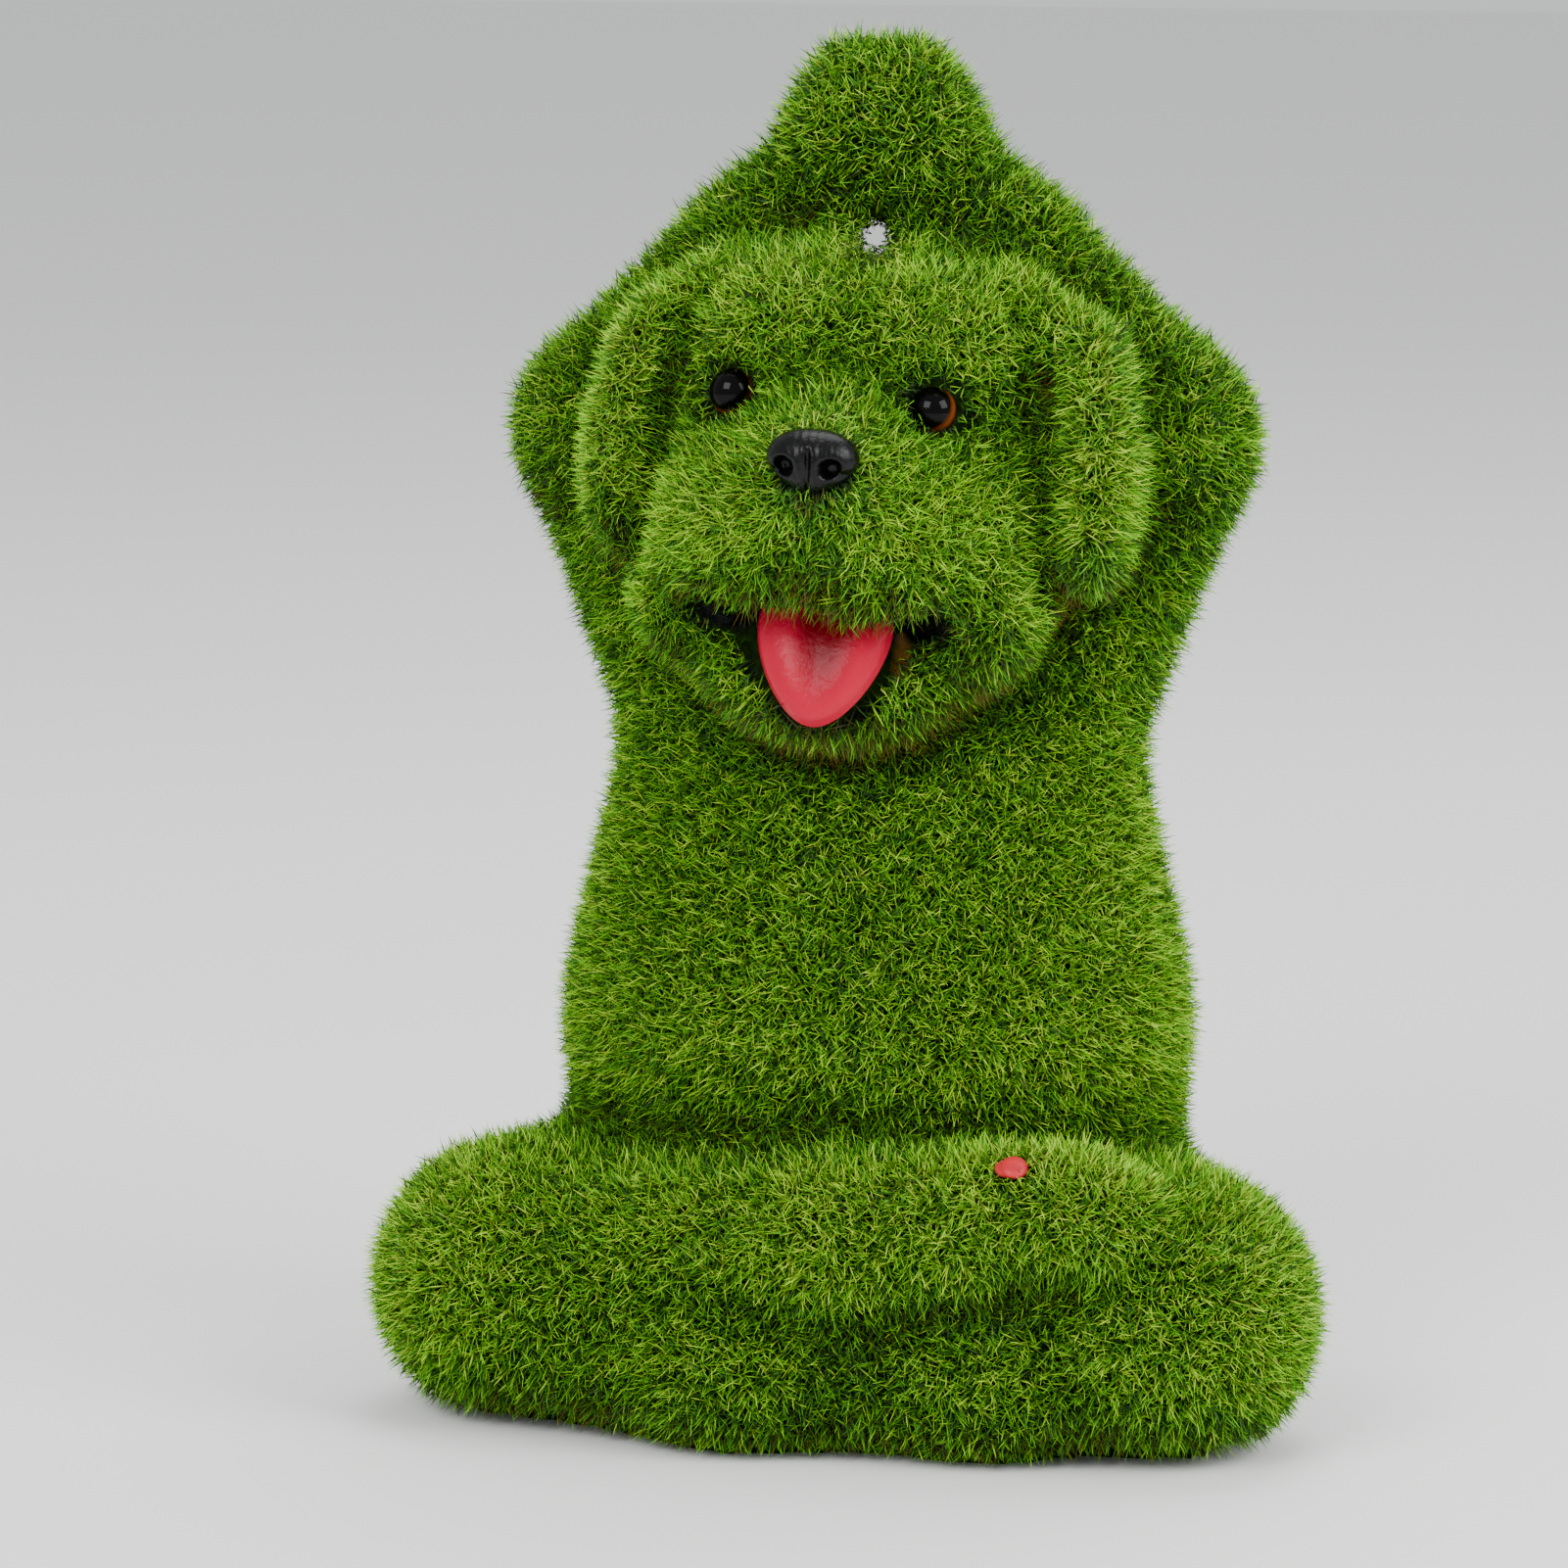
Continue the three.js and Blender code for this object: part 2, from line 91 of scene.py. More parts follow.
EYE_RIGHT = middle_of("eye_right")
EYE_LEFT = middle_of("eye_left")
EYE_RADIUS = half_of("eye_right").x
NOSE = middle_of("nose")
NOSE_HALF = half_of("nose")
TONGUE = middle_of("tongue")
HEAD_TILT = math.radians(3)
TONGUE_LEAN = math.radians(-24)
TONGUE_SIZE = Vector((30, 9, 36)) * MM
TONGUE_TURN = Matrix.Rotation(HEAD_TILT, 3, "Y") @ Matrix.Rotation(TONGUE_LEAN, 3, "X")
MOUTH_HOLLOWS = (
    (Vector((-2.0, -46.0, 178.0)) * MM, Vector((21.5, 16.0, 15.5)) * MM),
    (Vector((-19.5, -40.0, 182.0)) * MM, Vector((11.5, 11.0, 6.0)) * MM),
    (Vector((15.5, -40.0, 179.8)) * MM, Vector((11.5, 11.0, 6.0)) * MM),
)
MOUTH_MARGIN = 1.08
TONGUE_MARGIN = 1.06
TONGUE_REACH = 1.4
LIP_FRONT = -45.0 * MM
LIP_HEIGHT = 176.0 * MM
GAP_POINT = Vector((-0.6, 11.0, 256.9)) * MM
GAP_RADIUS = 3.0 * MM
GAP_TURN = math.radians(12.4)
GAP_FALL = math.radians(5.1)
GAP_LINE = Vector((-math.sin(GAP_TURN), math.cos(GAP_TURN), -math.tan(GAP_FALL))).normalized()
PAW_PAD = Vector((43.4, -54.2, 66.6)) * MM
PAW_PAD_TILT = math.radians(30)
BARE_SPOT = Vector((15.2, -40.0, 171.4)) * MM

# Where the pile is cut short: the centre, the radius and the share of the depth that is left
CLEARINGS = (
    (EYE_RIGHT, 9 * MM, 0.25),
    (EYE_LEFT, 9 * MM, 0.25),
    (NOSE, 15 * MM, 0.55),
    (PAW_PAD, 7 * MM, 0.5),
    (BARE_SPOT, 6 * MM, 0.4),
)
LEAST_AT_GAP = 0.3
LEAST_IN_MOUTH = 0.15


# Small helpers


def linear(hex_colour: str) -> Rgba:
    """Turns an sRGB hex value into linear light.

    Args:
        hex_colour: Six hex digits.

    Returns:
        Red, green, blue and an alpha of 1.
    """
    channels = [int(hex_colour[i : i + 2], 16) / 255 for i in (0, 2, 4)]
    lit = [c / 12.92 if c <= 0.04045 else ((c + 0.055) / 1.055) ** 2.4 for c in channels]
    return (lit[0], lit[1], lit[2], 1.0)


def feed(tree: Tree, node: bpy.types.Node, inputs: dict | tuple) -> None:
    """Feeds a node's inputs, each from an output socket or with a constant.

    Args:
        tree: The node's tree.
        node: The node.
        inputs: What feeds each input, by the input's name or number, or in the inputs' order.
    """
    for key, value in inputs.items() if isinstance(inputs, dict) else enumerate(inputs):
        if isinstance(value, Socket):
            tree.links.new(value, node.inputs[key])
        else:
            node.inputs[key].default_value = value


def add(tree: Tree, kind: str, inputs: dict | tuple = (), **settings: object) -> bpy.types.NodeOutputs:
    """Adds a node with its settings, its constant inputs and its links.

    Args:
        tree: The node tree.
        kind: The node's type name.
        inputs: What feeds its inputs.
        settings: The node's own properties, and a colour ramp's stops.

    Returns:
        The new node's outputs.
    """
    node = tree.nodes.new(kind)
    for name, value in settings.items():
        if name == "stops":
            fill(node.color_ramp, value)
        else:
            setattr(node, name, value)
    feed(tree, node, inputs)
    return node.outputs


def fill(band: bpy.types.ColorRamp, stops: Stops) -> None:
    """Gives a colour ramp its stops.

    Args:
        band: The ramp.
        stops: Each stop's place from 0 to 1 and its linear colour.
    """
    band.elements[0].position, band.elements[0].color = stops[0]
    band.elements[1].position, band.elements[1].color = stops[-1]
    for place, colour in stops[1:-1]:
        band.elements.new(place).color = colour


def inside(tree: Tree, centre: Vector, half: Vector, limits: tuple[float, float], blend: str) -> Socket:
    """A mask over a surface that grows from 0 to 1 on the way into an ellipsoid.

    Args:
        tree: The material's node tree.
        centre: The ellipsoid's centre.
        half: Its half sizes.
        limits: Where the mask is 0 and where it is 1, in half sizes from the centre.
        blend: The way it grows.

    Returns:
        The mask's socket.
    """
    place = add(tree, "ShaderNodeTexCoord")["Object"]
    off = add(tree, VECTOR_MATH, (place, centre), operation="SUBTRACT")[0]
    share = add(tree, VECTOR_MATH, (off, half), operation="DIVIDE")[0]
    length = add(tree, VECTOR_MATH, (share,), operation="LENGTH")["Value"]
    span = {"Value": length, "From Min": limits[0], "From Max": limits[1]}
    return add(tree, "ShaderNodeMapRange", span, interpolation_type=blend)["Result"]


def new_material(name: str) -> tuple[bpy.types.Material, Tree, bpy.types.Node]:
    """Makes a material with an empty Principled shader.

    Args:
        name: The material's name.

    Returns:
        The material, its tree and its shader node.
    """
    material = bpy.data.materials.new(name)
    material.use_nodes = True
    return material, material.node_tree, material.node_tree.nodes["Principled BSDF"]


def object_from(name: str, mesh: Mesh) -> Object:
    """Links a new object that carries a mesh.

    Args:
        name: The object's name.
        mesh: Its mesh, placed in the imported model's frame.

    Returns:
        The object.
    """
    mesh.name = name
    piece = bpy.data.objects.new(name, mesh)
    bpy.context.scene.collection.objects.link(piece)
    return piece


def mesh_from(shape: bmesh.types.BMesh) -> Mesh:
    """Turns a shape that is being built into a mesh, and frees the shape."""
    mesh = bpy.data.meshes.new("shape")
    shape.to_mesh(mesh)
    shape.free()
    return mesh


def smoothed(mesh: Mesh) -> Mesh:
    """The same mesh, shaded smooth."""
    mesh.polygons.foreach_set("use_smooth", np.ones(len(mesh.polygons), bool))
    return mesh


def fine_ball(subdivisions: int) -> Mesh:
    """A smooth ball of radius 1 with even triangles."""
    shape = bmesh.new()
    bmesh.ops.create_icosphere(shape, subdivisions=subdivisions, radius=1.0)
    return smoothed(mesh_from(shape))


def plain_mesh(piece: Object) -> Mesh:
    """The evaluated mesh of an object with modifiers, as a mesh of its own."""
    graph = bpy.context.evaluated_depsgraph_get()
    return bpy.data.meshes.new_from_object(piece.evaluated_get(graph), depsgraph=graph)


def keep(piece: Object, slot: str, *nodes: str) -> Object:
    """Puts a finished piece on the statue and reports it.

    Args:
        piece: The finished piece.
        slot: The name of a material slot; not used.
        nodes: The CAD nodes that the piece stands for.

    Returns:
        The same piece.
    """
    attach(piece, ROOT_BODY)
    if nodes:
        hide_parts(*nodes)
    log.info("%s: %d faces", piece.name, len(piece.data.polygons))
    return piece


def corners_of(mesh: Mesh) -> Array:
    """A mesh's vertices as an array, one row each."""
    flat = np.empty(len(mesh.vertices) * 3)
    mesh.vertices.foreach_get("co", flat)
    return flat.reshape(-1, 3)


def normals_of(mesh: Mesh) -> Array:
    """A mesh's vertex normals as an array, one row each."""
    flat = np.empty(len(mesh.vertices) * 3)
    mesh.vertex_normals.foreach_get("vector", flat)
    return flat.reshape(-1, 3)


def place_corners(mesh: Mesh, points: Array) -> None:
    """Writes a mesh's vertices back, one row for each vertex."""
    mesh.vertices.foreach_set("co", points.ravel())
    mesh.update()


def steps(value: Array, low: float, high: float) -> Array:
    """A smooth step from 0 at low to 1 at high."""
    share = np.clip((value - low) / (high - low), 0, 1)
    return share * share * (3 - 2 * share)


def far_from(points: Array, centre: Vector, half: Vector | float) -> Array:
    """How far each point lies from a centre: 1 on the ellipsoid or ball of that half size."""
    return np.linalg.norm((points - np.array(centre)) / np.array(half), axis=1)


def in_mouth(points: Array) -> Array:
    """Which points of the pile's outer face lie in the open mouth, and not on the lips.

    Args:
        points: One row for each point.

    Returns:
        True for each point in the mouth.
    """
    hollow = np.zeros(len(points), bool)
    for centre, half in MOUTH_HOLLOWS:
        hollow |= far_from(points, centre, half) < MOUTH_MARGIN
    return hollow & ~((points[:, 1] < LIP_FRONT) & (points[:, 2] > LIP_HEIGHT))


def across_tongue(points: Array) -> Array:
    """How far each point lies from the tongue's middle, across its face: 1 at its edge."""
    local = (points - np.array(TONGUE)) @ np.array(TONGUE_TURN) / np.array(TONGUE_SIZE / 2)
    return np.hypot(local[:, 0], local[:, 2]) + 9 * (np.abs(local[:, 1]) > TONGUE_REACH)


def on_tongue(points: Array) -> Array:
    """Which points lie on or in the tongue."""
    return across_tongue(points) < TONGUE_MARGIN


def beside_gap(points: Array) -> Array:
    """From the middle line of the gap over the head to each point, square to the line."""
    away = points - np.array(GAP_POINT)
    return away - (away @ np.array(GAP_LINE))[:, None] * np.array(GAP_LINE)


def trim(points: Array) -> Array:
    """How deep the pile stands at each point, cut short round the eyes, nose and bare places.

    Args:
        points: Points of the pile's outer face.

    Returns:
        The share of the full depth.
    """
    share = np.ones(len(points))
    for centre, radius, least in CLEARINGS:
        share = np.minimum(share, least + (1 - least) * steps(far_from(points, centre, radius), 0.6, 1.3))
    open_gap = steps(np.linalg.norm(beside_gap(points), axis=1), 4 * MM, 10 * MM)
    share = np.minimum(share, LEAST_AT_GAP + (1 - LEAST_AT_GAP) * open_gap)
    share[in_mouth(points)] = LEAST_IN_MOUTH
    share[on_tongue(points)] = 1.0
    return share


# The studio


@dataclass(frozen=True)
class SoftBox:
    """One square area light: its name, place, side and power in watts."""

    name: str
    place: tuple[float, float, float]
    side: float
    watts: float


@dataclass
class Studio:
    """A pale floor, soft studio light and a camera at the photograph's viewing angle."""

    azimuth: float = 12.4
    elevation: float = 9.5
    distance: float = 1.362
    target: Vector = field(default_factory=lambda: Vector((-0.0005, 0.006, 0.150)))
    pixels: int = 1601
    focal_pixels: float = 6326.5
    target_pixel: tuple[float, float] = (888.5, 740.4)
    sensor: float = 36.0
    floor_half: float = 6.0
    surround: float = 0.8
    boxes: tuple[SoftBox, ...] = (
        SoftBox("key_box", (-0.5, -1.35, 1.2), 0.9, 24.0),
        SoftBox("fill_box", (1.3, -0.4, 1.0), 0.9, 22.0),
        SoftBox("top_box", (0.1, 0.5, 1.6), 1.1, 14.0),
    )

    def build(self) -> None:
        """Makes the floor, the lights and the camera."""
        self.floor()
        self.lights()
        self.camera()

    def floor(self) -> None:
        """A wide floor that reaches far behind the statue."""
        shape = bmesh.new()
        bmesh.ops.create_grid(shape, x_segments=1, y_segments=1, size=self.floor_half)
        floor = object_from("studio_floor", mesh_from(shape))
        material, tree, shader = new_material("white_paper_floor")
        feed(tree, shader, {"Base Color": linear("F4F4F2"), "Roughness": 0.9})
        floor.data.materials.append(material)

    def lights(self) -> None:
        """Three large soft boxes, aimed at the statue, and an even white surround."""
        world = bpy.data.worlds.new("white_surround")
        bpy.context.scene.world = world
        world.use_nodes = True
        back = world.node_tree.nodes["Background"]
        feed(world.node_tree, back, {"Color": linear("F7F9FB"), "Strength": self.surround})
        for box in self.boxes:
            data = bpy.data.lights.new(box.name, "AREA")
            data.size = box.side
            data.energy = box.watts
            lamp = bpy.data.objects.new(box.name, data)
            lamp.location = box.place
            lamp.rotation_euler = (self.target - Vector(box.place)).to_track_quat("-Z", "Y").to_euler()
            bpy.context.scene.collection.objects.link(lamp)

    def camera(self) -> None:
        """The camera of the photograph, with the statue where the photograph has it."""
        turn, rise = math.radians(self.azimuth), math.radians(self.elevation)
        back = Vector((math.sin(turn) * math.cos(rise), -math.cos(turn) * math.cos(rise), math.sin(rise)))
        data = bpy.data.cameras.new("photo_camera")
        data.sensor_width = self.sensor
        data.lens = self.sensor * self.focal_pixels / self.pixels
        half = self.pixels / 2
        data.shift_x = (half - self.target_pixel[0]) / self.pixels
        data.shift_y = (self.target_pixel[1] - half) / self.pixels
        camera = bpy.data.objects.new("photo_camera", data)
        camera.location = self.target + back * self.distance
        camera.rotation_euler = (-back).to_track_quat("-Z", "Y").to_euler()
        bpy.context.scene.collection.objects.link(camera)
        bpy.context.scene.camera = camera


# The resin casting under the pile


@dataclass(frozen=True)
class AdhesiveCoat:
    """Resin coated with green flocking adhesive, black enamel in the mouth.

    Adhesive dries to a dull dark green that only shows as the dark ground between fibres. The
    mouth is brushed with glossy black enamel, and one bare spot beside it shows tan resin.
    """

    ground: str = "0F1D04"
    ground_light: str = "1E3507"
    enamel: str = "020203"
    resin: str = "B07A34"
    grain: float = 1.6 * MM
    mouth_edges: tuple[float, ...] = (0.1, 0.2, 0.2)
    spot_half: tuple[float, ...] = (2.6 * MM, 6.0 * MM, 5.0 * MM)
    spot_edge: float = 0.45

    def material(self) -> bpy.types.Material:
        """Builds the coat's material.

        Returns:
            The material.
        """
        material, tree, shader = new_material("green_flocking_adhesive")
        place = add(tree, "ShaderNodeTexCoord")["Object"]
        grain = {"Vector": place, "Scale": 1 / self.grain, "Detail": 3.0}
        lumps = add(tree, "ShaderNodeTexNoise", grain)["Fac"]
        shades = [(0.35, linear(self.ground)), (0.7, linear(self.ground_light))]
        green = add(tree, "ShaderNodeValToRGB", {"Fac": lumps}, stops=shades)["Color"]
        mouth = 0.0
        for (centre, half), soft in zip(MOUTH_HOLLOWS, self.mouth_edges):
            part = inside(tree, centre, half, (1 + soft, 1 - soft), "LINEAR")
            mouth = add(tree, MATH, (mouth, part), operation="MAXIMUM")[0]
        limits = (1 + self.spot_edge, 1 - self.spot_edge)
        spot = inside(tree, BARE_SPOT, Vector(self.spot_half), limits, "LINEAR")
        colour = green
        for share, paint in ((mouth, self.enamel), (spot, self.resin)):
            colour = add(tree, "ShaderNodeMix", {0: share, 6: colour, 7: linear(paint)}, data_type="RGBA")[2]
        rough = add(tree, "ShaderNodeMapRange", {"Value": mouth, "To Min": 0.85, "To Max": 0.3})["Result"]
        bump = add(tree, "ShaderNodeBump", {"Height": lumps, "Strength": 0.7, "Distance": 0.5 * MM})["Normal"]
        finish = {"Base Color": colour, "Roughness": rough, "Specular IOR Level": 0.07, "Normal": bump}
        feed(tree, shader, finish)
        return material


@dataclass
class Casting:
    """The resin casting that the grass is glued to, smooth and a little inside the pile's tips."""

    depth: float = 3.2 * MM
    voxel: float = 2.7 * MM
    smoothing: int = 4
    nose_seat: float = 4.5 * MM
    eye_seat: float = 1.6 * MM
    tongue_seat: float = 4.0 * MM
    drill_length: float = 90 * MM
    ground_band: float = 1.6 * MM
    coat: AdhesiveCoat = AdhesiveCoat()

    def outer_face(self) -> Mesh:
        """The pile's outer face: merged copies of the CAD nodes, remeshed evenly and smoothed.

        Returns:
            The outer face.
        """
        joined = bmesh.new()
        for node in ("body", "eye_right", "eye_left", "nose", "tongue"):
            joined.from_mesh(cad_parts[node].data)
        bmesh.ops.remove_doubles(joined, verts=joined.verts, dist=0.001 * MM)
        draft = object_from("casting_rough", mesh_from(joined))
        remesh = draft.modifiers.new("even", "REMESH")
        remesh.mode = "VOXEL"
        remesh.voxel_size = self.voxel
        smooth = draft.modifiers.new("smooth", "SMOOTH")
        smooth.factor = 0.5
        smooth.iterations = self.smoothing
        drill = self.drill()
        passage = draft.modifiers.new("gap", "BOOLEAN")
        passage.operation = "DIFFERENCE"
        passage.solver = "EXACT"
        passage.object = drill
        face = plain_mesh(draft)
        bpy.data.objects.remove(draft)
        bpy.data.objects.remove(drill)
        return face

    def drill(self) -> Object:
        """The rod that opens the gap over the head again, which the remesh closes.

        Returns:
            The rod, which isn't a piece.
        """
        shape = bmesh.new()
        ends = {"radius1": GAP_RADIUS, "radius2": GAP_RADIUS, "depth": self.drill_length}
        bmesh.ops.create_cone(shape, cap_ends=True, segments=20, **ends)
        mesh = mesh_from(shape)
        mesh.transform(Matrix.Translation(GAP_POINT) @ GAP_LINE.to_track_quat("Z", "Y").to_matrix().to_4x4())
        return object_from("drill", mesh)

    def build(self, face: Mesh) -> Object:
        """Makes the casting: the outer face, set back by the depth of the pile.

        Args:
            face: The pile's outer face.

        Returns:
            The casting.
        """
        mesh = face.copy()
        points = corners_of(mesh)
        on_ground = points[:, 2] < self.ground_band
        moved = points - normals_of(mesh) * (self.depth * trim(points))[:, None]
        moved[:, 1] += self.nose_seat * (1 - steps(far_from(points, NOSE, NOSE_HALF), 1.05, 1.3))
        moved[:, 1] += self.tongue_seat * (1 - steps(across_tongue(points), 1.12, 1.4))
        for eye in (EYE_RIGHT, EYE_LEFT):
            near = 1 - steps(far_from(points, eye, EYE_RADIUS), 1.3, 1.9)
            moved -= normals_of(mesh) * (self.eye_seat * near)[:, None]
        moved[on_ground, 2] = 0.0
        place_corners(mesh, moved)
        return object_from("casting_coat", smoothed(mesh))

    def dress(self, casting: Object) -> None:
        """Gives the casting its coat."""
        casting.data.materials.clear()
        casting.data.materials.append(self.coat.material())


# The pile of artificial grass


class Zone(Enum):
    """The zones that the pile is glued on in, each a piece of its own."""

    FACE = "pile_face"
    HEAD = "pile_head_and_ears"
    ARMS = "pile_arms"
    CHEST = "pile_chest"
    BACK = "pile_back"
    LEGS = "pile_legs"


@dataclass(frozen=True)
class GrassFibre:
    """Cut polypropylene grass fibre.

    The fibres are thin and slightly glossy. Each batch mixes brown, dark, leaf green and
    yellow-green strands. Light and shade are painted along each strand: painted shade, nearly
    black at the glued root, and painted light, paler at the cut tip. U of the pile's own map picks
    the strand's shade and V runs from root to tip.
    """

    strands: tuple[tuple[float, str], ...] = (
        (0.0, "665018"),
        (0.12, "28520F"),
        (0.35, "448818"),
        (0.55, "66B414"),
        (0.75, "8CD616"),
        (0.9, "AEE624"),
        (1.0, "CCF048"),
    )
    # Painted shade and light along each strand, from the root (V 0) to the tip (V 1).
    light: tuple[tuple[float, float], ...] = (
        (0.0, 0.04),
        (0.32, 0.1),
        (0.6, 0.46),
        (0.82, 1.05),
        (1.0, 1.6),
    )
    roughness: float = 0.5
    shine: float = 0.2

    def material(self) -> bpy.types.Material:
        """Builds the fibre's material.

        Returns:
            The material.
        """
        material, tree, shader = new_material("polypropylene_grass_fibre")
        strand = add(tree, "ShaderNodeUVMap", uv_map=Turf.MAP)["UV"]
        parts = add(tree, SPLIT, (strand,))
        shades = [(place, linear(value)) for place, value in self.strands]
        rise = [(place, (value, value, value, 1.0)) for place, value in self.light]
        strand_colour = add(tree, "ShaderNodeValToRGB", {"Fac": parts["X"]}, stops=shades)["Color"]
        # Painted shade towards the root and painted light at the tip, multiplied into the strand's colour.
        light = add(tree, "ShaderNodeValToRGB", {"Fac": parts["Y"]}, stops=rise)["Color"]
        lit = {0: 1.0, 6: strand_colour, 7: light}
        colour = add(tree, "ShaderNodeMix", lit, data_type="RGBA", blend_type="MULTIPLY")[2]
        finish = {"Base Color": colour, "Roughness": self.roughness, "Specular IOR Level": self.shine}
        feed(tree, shader, finish)
        return material


@dataclass(frozen=True)
class Borders:
    """Where the pile's zones meet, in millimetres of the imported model's frame."""

    legs_top: float = 66.0
    legs_back: float = 18.0
    back_front: float = 6.0
    back_top: float = 200.0
    arms_base: float = 185.0
    head_base: float = 150.0
    head_back: float = 2.0
    head: tuple[Vector, Vector] = (Vector((0, -6, 208)), Vector((62, 44, 54)))
    face: tuple[Vector, Vector] = (Vector((-1, -46, 200)), Vector((36, 34, 40)))


@dataclass(frozen=True)
class Tones:
    """How each place moves the middle of the mix of strands, from 0 (dark) to 1 (pale); most of them paint
    light or shade into the pile.
    """

    middle: float = 0.45
    painted_top_light: float = 0.05
    ridge_light_and_crease_shade: float = 0.2
    ground: float = -0.42
    painted_shade_under_head: float = -0.42
    painted_shade_on_arms: float = -0.14
    painted_light_on_left_side: float = 0.09


@dataclass
class Turf:
    """The pile: separate fibres grown out of the casting, each zone a piece of its own."""

    MAP = "OFBake"
    INPUTS = {
        "NodeSocketGeometry": ("Outer face",),
        "NodeSocketObject": ("Fibre",),
        "NodeSocketString": ("Zone",),
        "NodeSocketFloat": ("Density", "Length", "Spread", "Swirl", "Swirl size", "Ground clearance"),
        "NodeSocketMaterial": ("Material",),
        "NodeSocketInt": ("Seed",),
    }
    VECTORS = ("comb", "way", "strand")
    NUMBERS = ("tone", "reach", "depth", "shade")
    CHANCES = (
        ("twist", 0.0, math.tau),
        ("width", 0.8, 1.2),
        ("bow", 0.4, 1.6),
        ("length", 0.72, 1.0),
        ("batch", -1.0, 1.0),
        ("mix", 0.25, 0.82),
    )
    length: float = 9.2 * MM
    depth: float = 3.4 * MM
    width: float = 0.36 * MM
    bow: float = 1.1 * MM
    thickness: float = 0.24 * MM
    widest: float = 0.5
    spread: float = 1.1
    swirl: float = 0.7
    swirl_size: float = 12 * MM
    ground_clearance: float = 1.5 * MM
    least_steepness: float = 0.55
    darkest_share: float = 0.3
    seed: int = 11
    rounds: int = 45
    ridge_height: float = 1.6 * MM
    lip_growth: float = 0.12
    fibre: GrassFibre = GrassFibre()
    borders: Borders = Borders()
    tones: Tones = Tones()
    bent_zones: tuple[Zone, ...] = (Zone.FACE, Zone.HEAD)
    counts: dict[Zone, int] = field(
        default_factory=lambda: {
            Zone.FACE: 11000,
            Zone.HEAD: 19500,
            Zone.ARMS: 45000,
            Zone.CHEST: 39000,
            Zone.BACK: 45000,
            Zone.LEGS: 48500,
        }
    )

    def build(self, face: Mesh) -> list[Object]:
        """Grows every zone of the pile.

        Args:
            face: The pile's outer face.

        Returns:
            The pile's pieces.
        """
        self.survey(face)
        material = self.fibre.material()
        tree = self.tree()
        fibres = {bent: self.single(bent) for bent in (False, True)}
        pieces = [self.grow(zone, face, tree, fibres[zone in self.bent_zones], material) for zone in Zone]
        for fibre in fibres.values():
            bpy.data.objects.remove(fibre)
        return pieces

    def survey(self, mesh: Mesh) -> None:
        """Writes the pile's zones, combing, shade and length onto its outer face.

        Args:
            mesh: The outer face.
        """
        points, normals = corners_of(mesh), normals_of(mesh)
        cover = self.cover(points, normals)
        zones = self.zones(points)
        for number, zone in enumerate(Zone):
            self.write(mesh, zone.value, "FLOAT", cover * (zones == number))
        self.write(mesh, "comb", "FLOAT_VECTOR", self.comb(points, normals))
        self.write(mesh, "tone", "FLOAT", self.tone(mesh))
        self.write(mesh, "reach", "FLOAT", self.reach(points))
        self.write(mesh, "depth", "FLOAT", self.depth * trim(points))

    def write(self, mesh: Mesh, name: str, kind: str, values: Array) -> None:
        """Stores one value for each vertex, as an attribute of the given kind."""
        attribute = mesh.attributes.new(name, kind, "POINT")
        attribute.data.foreach_set("vector" if kind == "FLOAT_VECTOR" else "value", values.ravel())

    def zones(self, points: Array) -> Array:
        """The number of each vertex's zone.

        Args:
            points: The outer face's vertices.

        Returns:
            Each vertex's place in the list of zones.
        """
        at = self.borders
        points = points / MM
        _, y, z = points.T
        order = list(Zone)
        zone = np.full(len(points), order.index(Zone.CHEST))
        zone[(y > at.back_front) & (z < at.back_top)] = order.index(Zone.BACK)
        zone[z < at.legs_top] = order.index(Zone.LEGS)
        zone[(z < at.legs_top) & (y > at.legs_back)] = order.index(Zone.BACK)
        zone[z > at.arms_base] = order.index(Zone.ARMS)
        head = (far_from(points, *at.head) < 1) & (z > at.head_base) & (y < at.head_back)
        zone[head] = order.index(Zone.HEAD)
        zone[far_from(points, *at.face) < 1] = order.index(Zone.FACE)
        return zone

    def cover(self, points: Array, normals: Array) -> Array:
        """How much of the pile grows at each vertex, from 0 to 1.

        Args:
            points: The outer face's vertices.
            normals: Their normals.

        Returns:
            The cover.
        """
        under = (points[:, 2] < 1.0 * MM) | ((normals[:, 2] < -0.8) & (points[:, 2] < 4 * MM))
        cover = np.where(under | in_mouth(points) | on_tongue(points), 0.0, 1.0)
        for centre, half, bare, full in (
            (EYE_RIGHT, EYE_RADIUS, 1.35, 1.6),
            (EYE_LEFT, EYE_RADIUS, 1.35, 1.6),
            (NOSE, NOSE_HALF, 1.02, 1.18),
            (PAW_PAD, 2.2 * MM, 0.7, 1.0),
        ):
            cover *= steps(far_from(points, centre, half), bare, full)
        cover *= 0.1 + 0.9 * steps(far_from(points, BARE_SPOT, 3.4 * MM), 0.7, 1.1)
        cover *= steps(np.linalg.norm(beside_gap(points), axis=1), 2.8 * MM, 4.4 * MM)
        below_lip = (points[:, 2] > 172 * MM) & (points[:, 2] < 186 * MM) & (points[:, 1] < -34 * MM)
        cover *= 1 - steps(-normals[:, 2], 0.65, 0.85) * below_lip
        return cover

